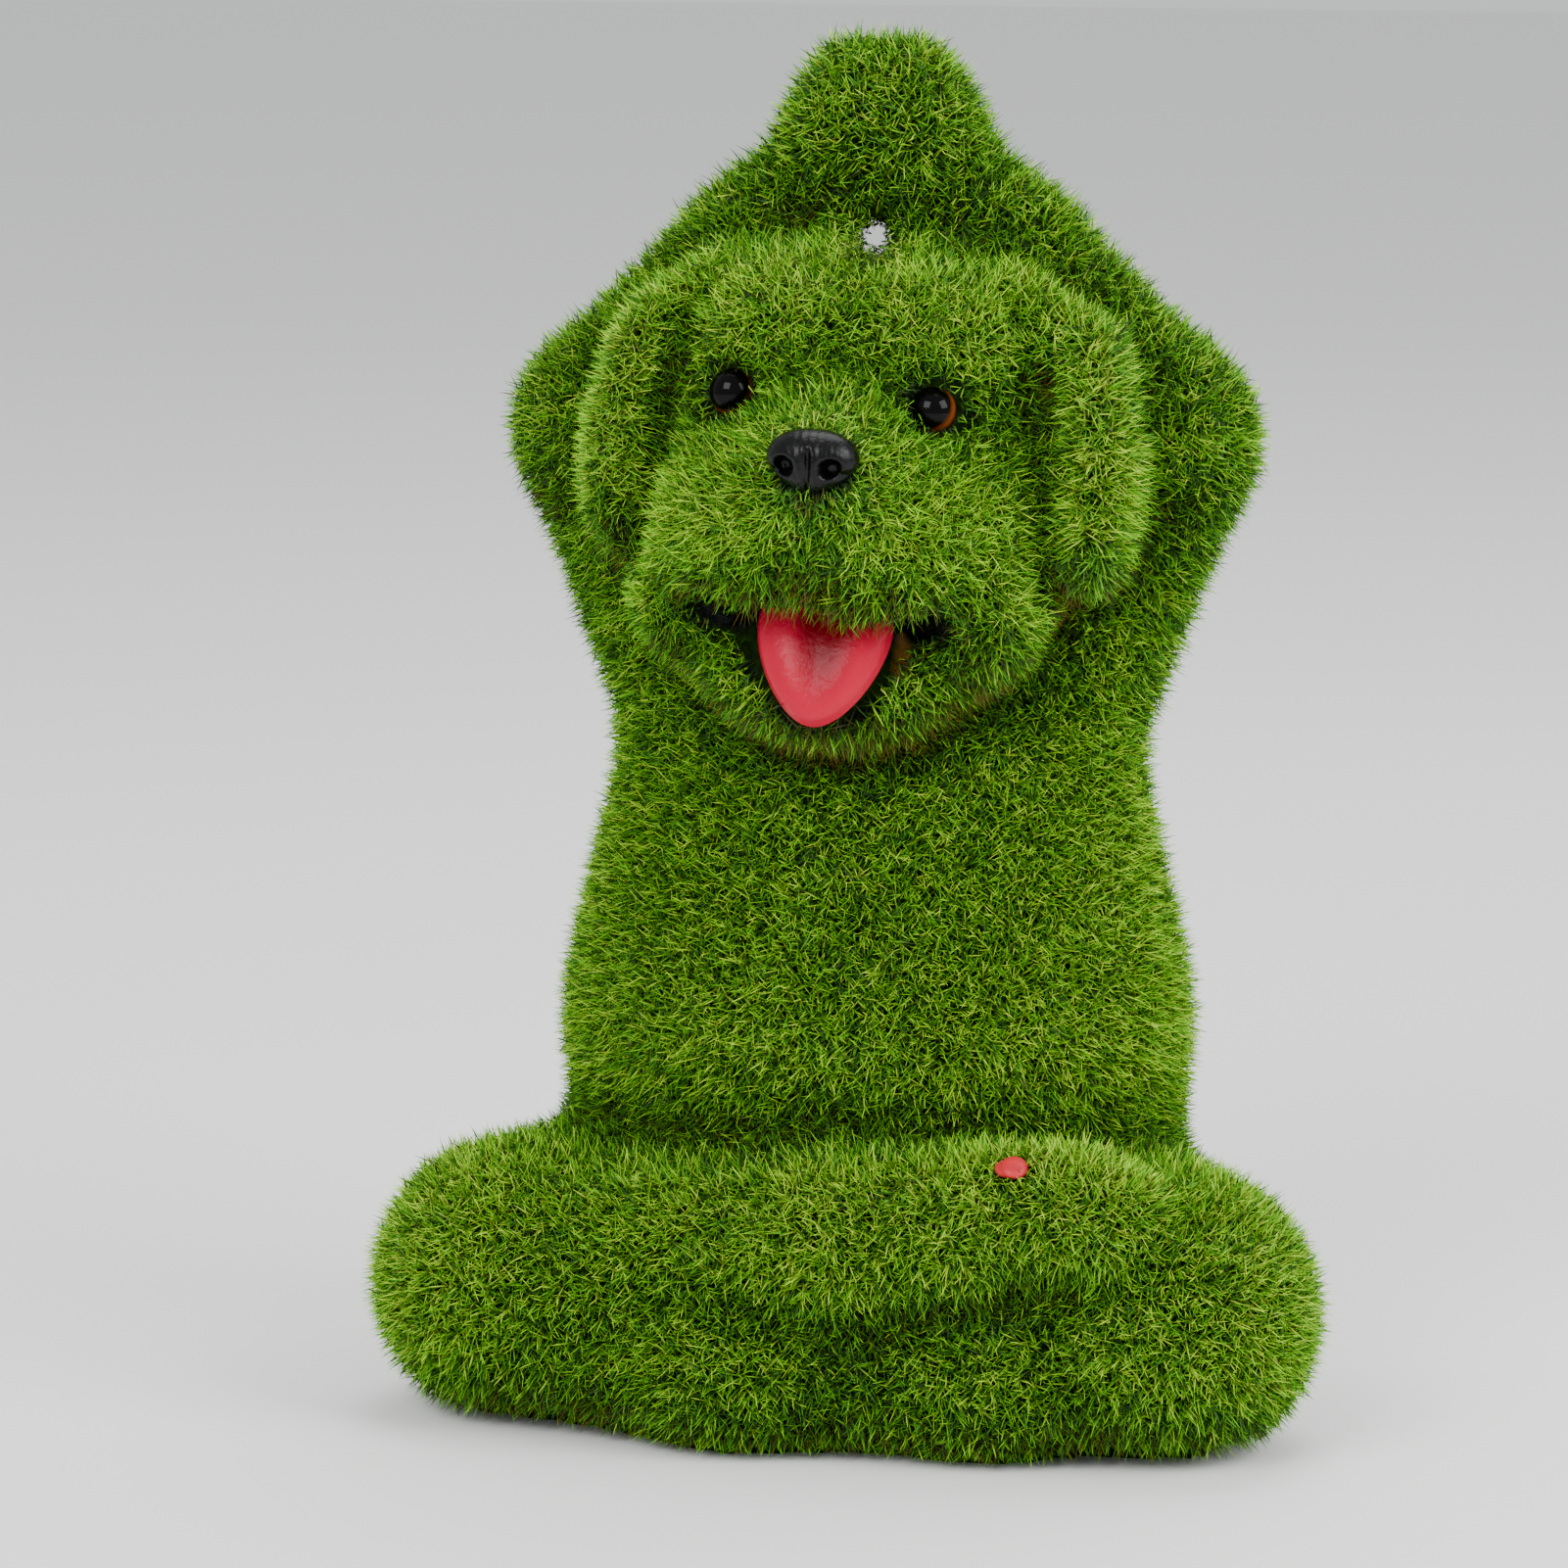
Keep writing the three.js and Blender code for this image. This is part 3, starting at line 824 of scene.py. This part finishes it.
    def comb(self, points: Array, normals: Array) -> Array:
        """Which way the pile leans at each vertex.

        Args:
            points: The outer face's vertices.
            normals: Their normals.

        Returns:
            A vector for each vertex, longer where the pile lies flatter.
        """
        comb = np.zeros_like(points)
        comb[:, 2] = -0.12
        for centre, half, pull in (
            (NOSE, 34 * MM, 1.1),
            (EYE_RIGHT, 12 * MM, 1.9),
            (EYE_LEFT, 12 * MM, 1.9),
            (PAW_PAD, 9 * MM, 0.3),
        ):
            away = points - np.array(centre)
            distance = np.linalg.norm(away, axis=1, keepdims=True)
            flat = away - np.sum(away * normals, axis=1, keepdims=True) * normals
            flat /= np.maximum(np.linalg.norm(flat, axis=1, keepdims=True), 1e-6)
            comb += flat * pull * (1 - steps(distance, half * 0.25, half))
        aside = beside_gap(points)
        distance = np.linalg.norm(aside, axis=1, keepdims=True)
        comb += 1.2 * aside / np.maximum(distance, 1e-6) * (1 - steps(distance, 5 * MM, 12 * MM))
        comb += self.upper_lip(points)[:, None] * np.array((0.0, -0.15, -0.6))
        return comb

    def upper_lip(self, points: Array) -> Array:
        """Where the fringe of the upper lip hangs over the tongue: 1 on it and 0 away from it."""
        lip = (1 - steps(points[:, 1], -44 * MM, -36 * MM)) * (1 - steps(points[:, 2], 184 * MM, 194 * MM))
        return lip * (points[:, 2] > 174 * MM) * (1 - steps(np.abs(points[:, 0]), 14 * MM, 24 * MM))

    def standing(self, mesh: Mesh) -> Array:
        """How far each vertex stands out of the form round it: ridges are positive, creases negative.

        Args:
            mesh: The outer face.

        Returns:
            The distance in metres.
        """
        points = corners_of(mesh)
        ends = np.empty(len(mesh.edges) * 2, dtype=np.int64)
        mesh.edges.foreach_get("vertices", ends)
        first, second = ends.reshape(-1, 2).T
        count = np.bincount(ends, minlength=len(points))[:, None]
        smooth = points.copy()
        for _ in range(self.rounds):
            total = np.stack(
                [
                    np.bincount(first, smooth[second, axis], len(points))
                    + np.bincount(second, smooth[first, axis], len(points))
                    for axis in range(3)
                ],
                axis=1,
            )
            smooth = (smooth + total / np.maximum(count, 1)) / 2
        return np.sum((points - smooth) * normals_of(mesh), axis=1)

    def tone(self, mesh: Mesh) -> Array:
        """The middle of the mix of strands at each vertex, from dark to pale, with light and shade painted
        into it.

        Args:
            mesh: The outer face.

        Returns:
            The tone, from 0 to 1.
        """
        x, y, z = (corners_of(mesh) / MM).T
        up = normals_of(mesh)[:, 2]
        by = self.tones
        ridge_light_and_crease_shade = np.clip(self.standing(mesh) / self.ridge_height, -1, 1)
        # Painted light on faces that look up and on ridges, painted shade on faces that look down and in
        # creases.
        tone = by.middle + by.painted_top_light * up + by.ridge_light_and_crease_shade * ridge_light_and_crease_shade
        tone += by.ground * (1 - steps(z, 2, 24))
        # Painted shade on faces that look down, under the jaw, the ears and the head.
        tone += by.painted_shade_under_head * steps(-up, 0.0, 0.6) * (z > 140)
        # Painted shade high up behind the face, on the raised forelegs.
        tone += by.painted_shade_on_arms * steps(z, 190, 215) * (1 - steps(-y, 0, 6))
        # Painted light on the dog's left side, the side the light falls on.
        tone += by.painted_light_on_left_side * steps(x, 15, 60) * (z < 215) * (z > 62)
        return tone

    def reach(self, points: Array) -> Array:
        """The fibres' length at each vertex, as a share of the full length."""
        return trim(points) * (1 + self.lip_growth * self.upper_lip(points))

    def single(self, bent: bool) -> Object:
        """One closed fibre with its root at the origin and its own map from root to tip.

        Args:
            bent: True for six faces and a bow, False for a straight needle of four faces.

        Returns:
            The fibre, which isn't a piece.
        """
        half, middle = self.width / 2, self.length * self.widest
        up = self.bow if bent else self.thickness
        corners = [(0, 0, 0), (-half, up, middle), (half, up, middle), (0, 0, self.length)]
        faces = [(0, 2, 1), (3, 1, 2), (0, 1, 3), (0, 3, 2)]
        if bent:
            corners.insert(3, (0, up + self.thickness, middle))
            faces = [(0, 2, 1), (0, 3, 2), (0, 1, 3), (4, 1, 2), (4, 2, 3), (4, 3, 1)]
        mesh = bpy.data.meshes.new("fibre")
        mesh.from_pydata(corners, [], faces)
        shape = bmesh.new()
        shape.from_mesh(mesh)
        bmesh.ops.recalc_face_normals(shape, faces=shape.faces)
        shape.to_mesh(mesh)
        shape.free()
        strand = mesh.attributes.new("strand", "FLOAT2", "CORNER")
        for corner in mesh.loops:
            x, _, z = corners[corner.vertex_index]
            strand.data[corner.index].vector = (x / self.width, z / self.length)
        return object_from("fibre", mesh)

    def tree(self) -> Tree:
        """The node tree that grows one zone of the pile on its outer face.

        Returns:
            The tree.
        """
        tree = bpy.data.node_groups.new("grow_pile", "GeometryNodeTree")
        for kind, names in self.INPUTS.items():
            for name in names:
                tree.interface.new_socket(name, in_out="INPUT", socket_type=kind)
        tree.interface.new_socket("Pile", in_out="OUTPUT", socket_type="NodeSocketGeometry")
        given = add(tree, "NodeGroupInput")

        # The values that the survey and the steps below store on the geometry
        stored = {}
        for kind, names in (("FLOAT_VECTOR", self.VECTORS), ("FLOAT", self.NUMBERS)):
            for name in names:
                stored[name] = add(tree, STORED, {"Name": name}, data_type=kind)[0]
        own_zone = add(tree, STORED, {"Name": given["Zone"]}, data_type="FLOAT")[0]
        position = add(tree, "GeometryNodeInputPosition")[0]
        clearance = given["Ground clearance"]

        # A random number of each kind for each fibre
        chance = {}
        for offset, (name, low, high) in enumerate(self.CHANCES, start=2):
            seed = add(tree, MATH, (given["Seed"], float(offset)), operation="ADD")[0]
            ends = {2: low, 3: high, 8: seed}
            chance[name] = add(tree, "FunctionNodeRandomValue", ends, data_type="FLOAT")[1]

        # The places of the fibres on the outer face
        density = add(tree, MATH, (given["Density"], own_zone), operation="MULTIPLY")[0]
        sowing = {"Mesh": given["Outer face"], "Density": density, "Seed": given["Seed"]}
        scatter = add(tree, "GeometryNodeDistributePointsOnFaces", sowing, distribute_method="RANDOM")

        # Each fibre leans with the comb, the swirl of its neighbourhood and a stray way of its own
        seed = add(tree, MATH, (given["Seed"], 1.0), operation="ADD")[0]
        ends = {0: (-1.0, -1.0, -1.0), 1: (1.0, 1.0, 1.0), 8: seed}
        stray = add(tree, "FunctionNodeRandomValue", ends, data_type="FLOAT_VECTOR")[0]
        spread = add(tree, VECTOR_MATH, {0: stray, 3: given["Spread"]}, operation="SCALE")[0]
        scale = add(tree, MATH, (1.0, given["Swirl size"]), operation="DIVIDE")[0]
        drift = add(tree, "ShaderNodeTexNoise", {"Scale": scale, "Detail": 1.0})["Color"]
        centred = add(tree, VECTOR_MATH, (drift, (0.5, 0.5, 0.5)), operation="SUBTRACT")[0]
        swirl = add(tree, VECTOR_MATH, {0: centred, 3: given["Swirl"]}, operation="SCALE")[0]
        lean = stored["comb"]
        for part in (swirl, spread, scatter["Normal"]):
            lean = add(tree, VECTOR_MATH, (lean, part), operation="ADD")[0]
        way = add(tree, VECTOR_MATH, (lean,), operation="NORMALIZE")[0]
        keeping = {"Geometry": scatter["Points"], "Name": "way", "Value": way}
        aimed = add(tree, STORE, keeping, data_type="FLOAT_VECTOR", domain="POINT")[0]

        # The root is set back from the outer face along the fibre, into the adhesive
        sides = (stored["way"], scatter["Normal"])
        steep = add(tree, VECTOR_MATH, sides, operation="DOT_PRODUCT")["Value"]
        steep = add(tree, MATH, (steep, self.least_steepness), operation="MAXIMUM")[0]
        stride = add(tree, MATH, (stored["depth"], steep), operation="DIVIDE")[0]
        back = add(tree, VECTOR_MATH, {0: stored["way"], 3: stride}, operation="SCALE")[0]
        sunk = add(tree, VECTOR_MATH, (position, back), operation="SUBTRACT")[0]
        deep = add(tree, SPLIT, (sunk,))
        footing = add(tree, MATH, (deep["Z"], clearance), operation="MAXIMUM")[0]
        root = add(tree, JOIN, (deep["X"], deep["Y"], footing))[0]
        rooted = add(tree, "GeometryNodeSetPosition", {"Geometry": aimed, "Position": root})[0]

        # A fibre near the ground lies flatter, so that its tip stays above the ground
        height = add(tree, SPLIT, (position,))["Z"]
        missing = add(tree, MATH, (clearance, height), operation="SUBTRACT")[0]
        room = add(tree, MATH, (missing, given["Length"]), operation="DIVIDE")[0]
        axes = add(tree, SPLIT, (stored["way"],))
        rise = add(tree, MATH, (axes["Z"], room), operation="MAXIMUM")[0]
        plan = add(tree, JOIN, (axes["X"], axes["Y"]))[0]
        plan = add(tree, VECTOR_MATH, (plan,), operation="NORMALIZE")[0]
        square = add(tree, MATH, (rise, rise), operation="MULTIPLY")[0]
        level = add(tree, MATH, (1.0, square), operation="SUBTRACT")[0]
        level = add(tree, MATH, (level, 0.0), operation="MAXIMUM")[0]
        level = add(tree, MATH, (level,), operation="SQRT")[0]
        flat = add(tree, VECTOR_MATH, {0: plan, 3: level}, operation="SCALE")[0]
        upright = add(tree, JOIN, {2: rise})[0]
        aim = add(tree, VECTOR_MATH, (flat, upright), operation="ADD")[0]

        # Its turn, its size and the shade of its strand
        turn = add(tree, "FunctionNodeAlignRotationToVector", {"Vector": aim}, axis="Z")[0]
        spin = {"Axis": (0.0, 0.0, 1.0), "Angle": chance["twist"]}
        twist = add(tree, "FunctionNodeAxisAngleToRotation", spin)[0]
        pose = add(tree, "FunctionNodeRotateRotation", (turn, twist), rotation_space="LOCAL")[0]
        length = add(tree, MATH, (stored["reach"], chance["length"]), operation="MULTIPLY")[0]
        size = add(tree, JOIN, (chance["width"], chance["bow"], length))[0]
        # The strand's shade follows the tone of its place, with its painted light and shade, swung at random.
        swing = add(tree, MATH, (chance["batch"], chance["mix"]), operation="MULTIPLY")[0]
        shade = add(tree, MATH, (stored["tone"], swing), operation="ADD")[0]
        darkest = add(tree, MATH, (stored["tone"], self.darkest_share), operation="MULTIPLY")[0]
        for operation, limit in (("MAXIMUM", darkest), ("MAXIMUM", 0.02), ("MINIMUM", 0.98)):
            shade = add(tree, MATH, (shade, limit), operation=operation)[0]
        keeping = {"Geometry": rooted, "Name": "shade", "Value": shade}
        marked = add(tree, STORE, keeping, data_type="FLOAT", domain="POINT")[0]

        fibre = add(tree, "GeometryNodeObjectInfo", {"Object": given["Fibre"]}, transform_space="ORIGINAL")
        planting = {"Points": marked, "Instance": fibre["Geometry"], "Rotation": pose, "Scale": size}
        sown = add(tree, "GeometryNodeInstanceOnPoints", planting)[0]
        solid = add(tree, "GeometryNodeRealizeInstances", {"Geometry": sown})[0]

        # The pile's own map: U is the strand's shade, and a hair of the blade's own width
        strand = add(tree, SPLIT, (stored["strand"],))
        hair = add(tree, MATH, (strand["X"], 0.01), operation="MULTIPLY")[0]
        column = add(tree, MATH, (stored["shade"], hair), operation="ADD")[0]
        spot = add(tree, JOIN, (column, strand["Y"]))[0]
        keeping = {"Geometry": solid, "Name": self.MAP, "Value": spot}
        mapped = add(tree, STORE, keeping, data_type="FLOAT2", domain="CORNER")[0]
        painting = {"Geometry": mapped, "Material": given["Material"]}
        add(tree, "NodeGroupOutput", (add(tree, "GeometryNodeSetMaterial", painting)[0],))
        return tree

    def grow(self, zone: Zone, face: Mesh, tree: Tree, fibre: Object, material: bpy.types.Material) -> Object:
        """Grows one zone of the pile and makes it a plain mesh.

        Args:
            zone: The zone.
            face: The pile's outer face.
            tree: The tree that grows it.
            fibre: One fibre.
            material: The fibres' material.

        Returns:
            The zone's piece.
        """
        draft = object_from(zone.value + "_draft", face.copy())
        grower = draft.modifiers.new("pile", "NODES")
        grower.node_group = tree
        given = {
            "Fibre": fibre,
            "Zone": zone.value,
            "Density": self.counts[zone] / self.area(face, zone),
            "Length": self.length,
            "Spread": self.spread,
            "Swirl": self.swirl,
            "Swirl size": self.swirl_size,
            "Ground clearance": self.ground_clearance,
            "Material": material,
            "Seed": self.seed + 100 * list(Zone).index(zone),
        }
        for socket in tree.interface.items_tree:
            if socket.in_out == "INPUT" and socket.name in given:
                grower[socket.identifier] = given[socket.name]
        mesh = plain_mesh(draft)
        bpy.data.objects.remove(draft)
        for name in (*(other.value for other in Zone), *self.VECTORS, *self.NUMBERS):
            if name in mesh.attributes:
                mesh.attributes.remove(mesh.attributes[name])
        return keep(object_from(zone.value, mesh), "grass")

    def area(self, mesh: Mesh, zone: Zone) -> float:
        """The area that a zone's pile covers.

        Args:
            mesh: The surveyed outer face.
            zone: The zone.

        Returns:
            The area in square metres.
        """
        share = np.empty(len(mesh.vertices))
        mesh.attributes[zone.value].data.foreach_get("value", share)
        return sum(face.area * float(np.mean(share[list(face.vertices)])) for face in mesh.polygons)


# The set-in pieces


@dataclass(frozen=True)
class CraftEyeGloss:
    """Moulded acrylic craft eye: black pupil, orange-brown iris and a dark rim under clear gloss."""

    rings: tuple[tuple[float, str], ...] = (
        (0.0, "040303"),
        (0.36, "040303"),
        (0.39, "47200C"),
        (0.45, "743818"),
        (0.52, "47200C"),
        (0.58, "160B06"),
        (1.0, "160B06"),
    )
    roughness: float = 0.07
    shine: float = 0.11

    def material(self, name: str, centre: Vector, look: Vector) -> bpy.types.Material:
        """Builds the eye's material.

        Args:
            name: The material's name.
            centre: The eye's centre.
            look: The way that the pupil looks.

        Returns:
            The material.
        """
        material, tree, shader = new_material(name)
        place = add(tree, "ShaderNodeTexCoord")["Object"]
        off = add(tree, VECTOR_MATH, (place, centre), operation="SUBTRACT")[0]
        unit = add(tree, VECTOR_MATH, (off,), operation="NORMALIZE")[0]
        facing = add(tree, VECTOR_MATH, (unit, look), operation="DOT_PRODUCT")["Value"]
        angle = add(tree, MATH, (facing,), operation="ARCCOSINE")[0]
        share = add(tree, MATH, (angle, math.pi), operation="DIVIDE")[0]
        rings = [(place, linear(value)) for place, value in self.rings]
        colour = add(tree, "ShaderNodeValToRGB", {"Fac": share}, stops=rings)["Color"]
        finish = {"Base Color": colour, "Roughness": self.roughness, "Specular IOR Level": self.shine}
        feed(tree, shader, finish)
        return material


@dataclass
class Eye:
    """A domed craft eye in its socket."""

    node: str
    look: Vector
    proud: float = 0.5 * MM
    gloss: CraftEyeGloss = CraftEyeGloss()

    def build(self) -> Object:
        """Makes the eye as a smooth ball that stands a little out of its seat.

        Returns:
            The eye.
        """
        centre = middle_of(self.node) + self.look * self.proud
        shape = bmesh.new()
        bmesh.ops.create_uvsphere(shape, u_segments=48, v_segments=32, radius=EYE_RADIUS)
        turn = self.look.to_track_quat("Z", "Y").to_matrix().to_4x4()
        bmesh.ops.transform(shape, matrix=Matrix.Translation(centre) @ turn, verts=shape.verts)
        mesh = smoothed(mesh_from(shape))
        piece = object_from(self.node + "_dome", mesh)
        mesh.materials.append(self.gloss.material("acrylic_craft_eye_" + self.node[4:], centre, self.look))
        return keep(piece, "eyes", self.node)


@dataclass(frozen=True)
class Enamel:
    """Brushed gloss enamel over moulded resin with faint brush marks and dust, its colour deeper round one
    centre.
    """

    name: str
    colour: str
    # The deeper colour round the centre: painted shade on the tongue and the nose, the pad's own tint.
    deep: str
    roughness: float
    grain: float
    bump: float
    shine: float

    def material(self, centre: Vector, half: Vector) -> bpy.types.Material:
        """Builds the enamel's material, deeper in colour near the given centre.

        Args:
            centre: The middle of the deeper colour.
            half: How far it reaches.

        Returns:
            The material.
        """
        material, tree, shader = new_material(self.name)
        place = add(tree, "ShaderNodeTexCoord")["Object"]
        grain = {"Vector": place, "Scale": 1 / self.grain, "Detail": 4.0, "Roughness": 0.6}
        marks = add(tree, "ShaderNodeTexNoise", grain)["Fac"]
        depth = inside(tree, centre, half, (1.0, 0.3), "SMOOTHSTEP")
        paints = {0: depth, 6: linear(self.colour), 7: linear(self.deep)}
        colour = add(tree, "ShaderNodeMix", paints, data_type="RGBA")[2]
        gloss = {"Value": marks, "To Min": self.roughness * 0.7, "To Max": self.roughness * 1.35}
        rough = add(tree, "ShaderNodeMapRange", gloss)["Result"]
        relief = {"Height": marks, "Strength": self.bump, "Distance": 0.2 * MM}
        bump = add(tree, "ShaderNodeBump", relief)["Normal"]
        finish = {"Base Color": colour, "Roughness": rough, "Specular IOR Level": self.shine, "Normal": bump}
        feed(tree, shader, finish)
        return material


@dataclass
class Nose:
    """The nose: broad above, narrow below, with two nostrils and a groove."""

    enamel: Enamel = Enamel("black_nose_enamel", "050506", "020202", 0.22, 1.0 * MM, 0.8, 0.2)

    def build(self) -> Object:
        """Shapes the nose from a fine ball by pressing its nostrils and groove.

        Returns:
            The nose.
        """
        mesh = fine_ball(6)
        place_corners(mesh, self.shape(corners_of(mesh)))
        mesh.transform(Matrix.Translation(NOSE) @ Matrix.Rotation(HEAD_TILT, 4, "Y"))
        piece = object_from("nose_enamelled", mesh)
        # Painted shade: deeper black in the middle of the nose, round its groove.
        mesh.materials.append(self.enamel.material(NOSE + Vector((0, -2, -1)) * MM, Vector((3, 20, 8)) * MM))
        return keep(piece, "nose", "nose")

    def shape(self, unit: Array) -> Array:
        """Turns a ball of radius 1 into the nose's form.

        Args:
            unit: The ball's vertices.

        Returns:
            The nose's vertices round its own middle.
        """
        x, y, z = unit.T
        narrow = 1 - 0.34 * (1 - steps(z, -0.95, 0.15))
        boxy = 1 + 0.1 * np.abs(x * z)
        form = np.stack([x * narrow * boxy, y * boxy, z * boxy], axis=1)
        for side in (-1, 1):
            away = np.hypot((x + 0.04 - side * 0.52) / 0.21, (z + 0.1) / 0.26)
            nostril = np.exp(-(away**4)) * (y < 0)
            form[:, 1] += 0.6 * nostril
            slit = np.exp(-(((x - side * 0.78) / 0.14) ** 2) - ((z + 0.28) / 0.12) ** 2) * (y < 0)
            form[:, 1] += 0.22 * slit
        groove = np.exp(-((x / 0.07) ** 2)) * (1 - steps(z, 0.15, 0.6)) * (y < 0)
        form[:, 1] += 0.16 * groove
        wrinkles = np.sin(x * 34 + z * 5) * np.exp(-((x / 0.4) ** 2)) * (y < 0)
        form[:, 1] += 0.018 * wrinkles
        swell = np.exp(-((x / 0.45) ** 2) - ((z - 0.45) / 0.4) ** 2) * (y < 0)
        form[:, 1] -= 0.05 * swell
        low, high = form.min(axis=0), form.max(axis=0)
        form = (form - (low + high) / 2) / ((high - low) / 2)
        return form * np.array(NOSE_HALF)


@dataclass
class Tongue:
    """The tongue: a thick lobed sheet, hollowed along its middle."""

    enamel: Enamel = Enamel("rose_red_tongue_enamel", "B41632", "700414", 0.24, 1.8 * MM, 0.9, 0.12)

    def build(self) -> Object:
        """Shapes the tongue from a fine ball.

        Returns:
            The tongue.
        """
        mesh = fine_ball(6)
        place_corners(mesh, self.shape(corners_of(mesh)))
        mesh.transform(Matrix.Translation(TONGUE) @ TONGUE_TURN.to_4x4())
        piece = object_from("tongue_enamelled", mesh)
        # Painted shade: deeper red in the tongue's upper hollow, under the lip.
        deep = TONGUE + Vector((1, -4, 5)) * MM
        mesh.materials.append(self.enamel.material(deep, Vector((9, 24, 18)) * MM))
        return keep(piece, "tongue", "tongue")

    def shape(self, unit: Array) -> Array:
        """Turns a ball of radius 1 into the tongue's form.

        Args:
            unit: The ball's vertices.

        Returns:
            The tongue's vertices round its own middle.
        """
        x, y, z = unit.T
        reach = np.hypot(x, z)
        edge = np.sqrt(np.maximum(1 - reach**4, 0))
        thick = np.sign(y) * np.maximum(edge, np.abs(y)) * np.minimum(np.abs(y) * 3, 1)
        form = np.stack([x * np.minimum(0.95 + 0.25 * z, 1.04), thick, z], axis=1)
        hollow = np.exp(-((x / 0.36) ** 2)) * (0.05 + 0.3 * steps(z, -0.35, 0.6)) * (y < 0)
        form[:, 1] += hollow * (1 - steps(reach, 0.7, 1))
        lobe = np.exp(-(((np.abs(x) - 0.44) / 0.34) ** 2) - ((z + 0.34) / 0.42) ** 2) * (y < 0)
        form[:, 1] -= 0.1 * lobe
        return form * np.array(TONGUE_SIZE / 2)


@dataclass
class PawPad:
    """The small pink pad that shows between the fibres on the upper foot."""

    enamel: Enamel = Enamel("pink_pad_enamel", "C42430", "92161E", 0.4, 1.2 * MM, 0.3, 0.25)
    half: Vector = field(default_factory=lambda: Vector((3.5, 3.0, 1.4)) * MM)

    def build(self) -> Object:
        """Makes the pad as a flat, slightly uneven bead.

        Returns:
            The pad.
        """
        mesh = fine_ball(4)
        unit = corners_of(mesh)
        wave = 1 + 0.08 * np.sin(unit[:, 0] * 4 + unit[:, 2] * 3)
        place_corners(mesh, unit * np.array(self.half) * wave[:, None])
        mesh.transform(Matrix.Translation(PAW_PAD) @ Matrix.Rotation(PAW_PAD_TILT, 4, "X"))
        piece = object_from("paw_pad", mesh)
        mesh.materials.append(self.enamel.material(PAW_PAD, self.half))
        return keep(piece, "tongue")


def main() -> None:
    """Builds the studio and the statue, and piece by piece."""
    logging.basicConfig(level=logging.INFO, format="%(name)s %(message)s")
    Studio().build()
    casting = Casting()
    face = casting.outer_face()
    coat = casting.build(face)
    Turf().build(face)
    casting.dress(coat)
    keep(coat, "grass", "body")
    Eye("eye_right", Vector((-0.2, -0.88, 0.42)).normalized()).build()
    Eye("eye_left", Vector((-0.16, -0.89, 0.42)).normalized()).build()
    Nose().build()
    Tongue().build()
    PawPad().build()


if __name__ == "__main__":
    main()
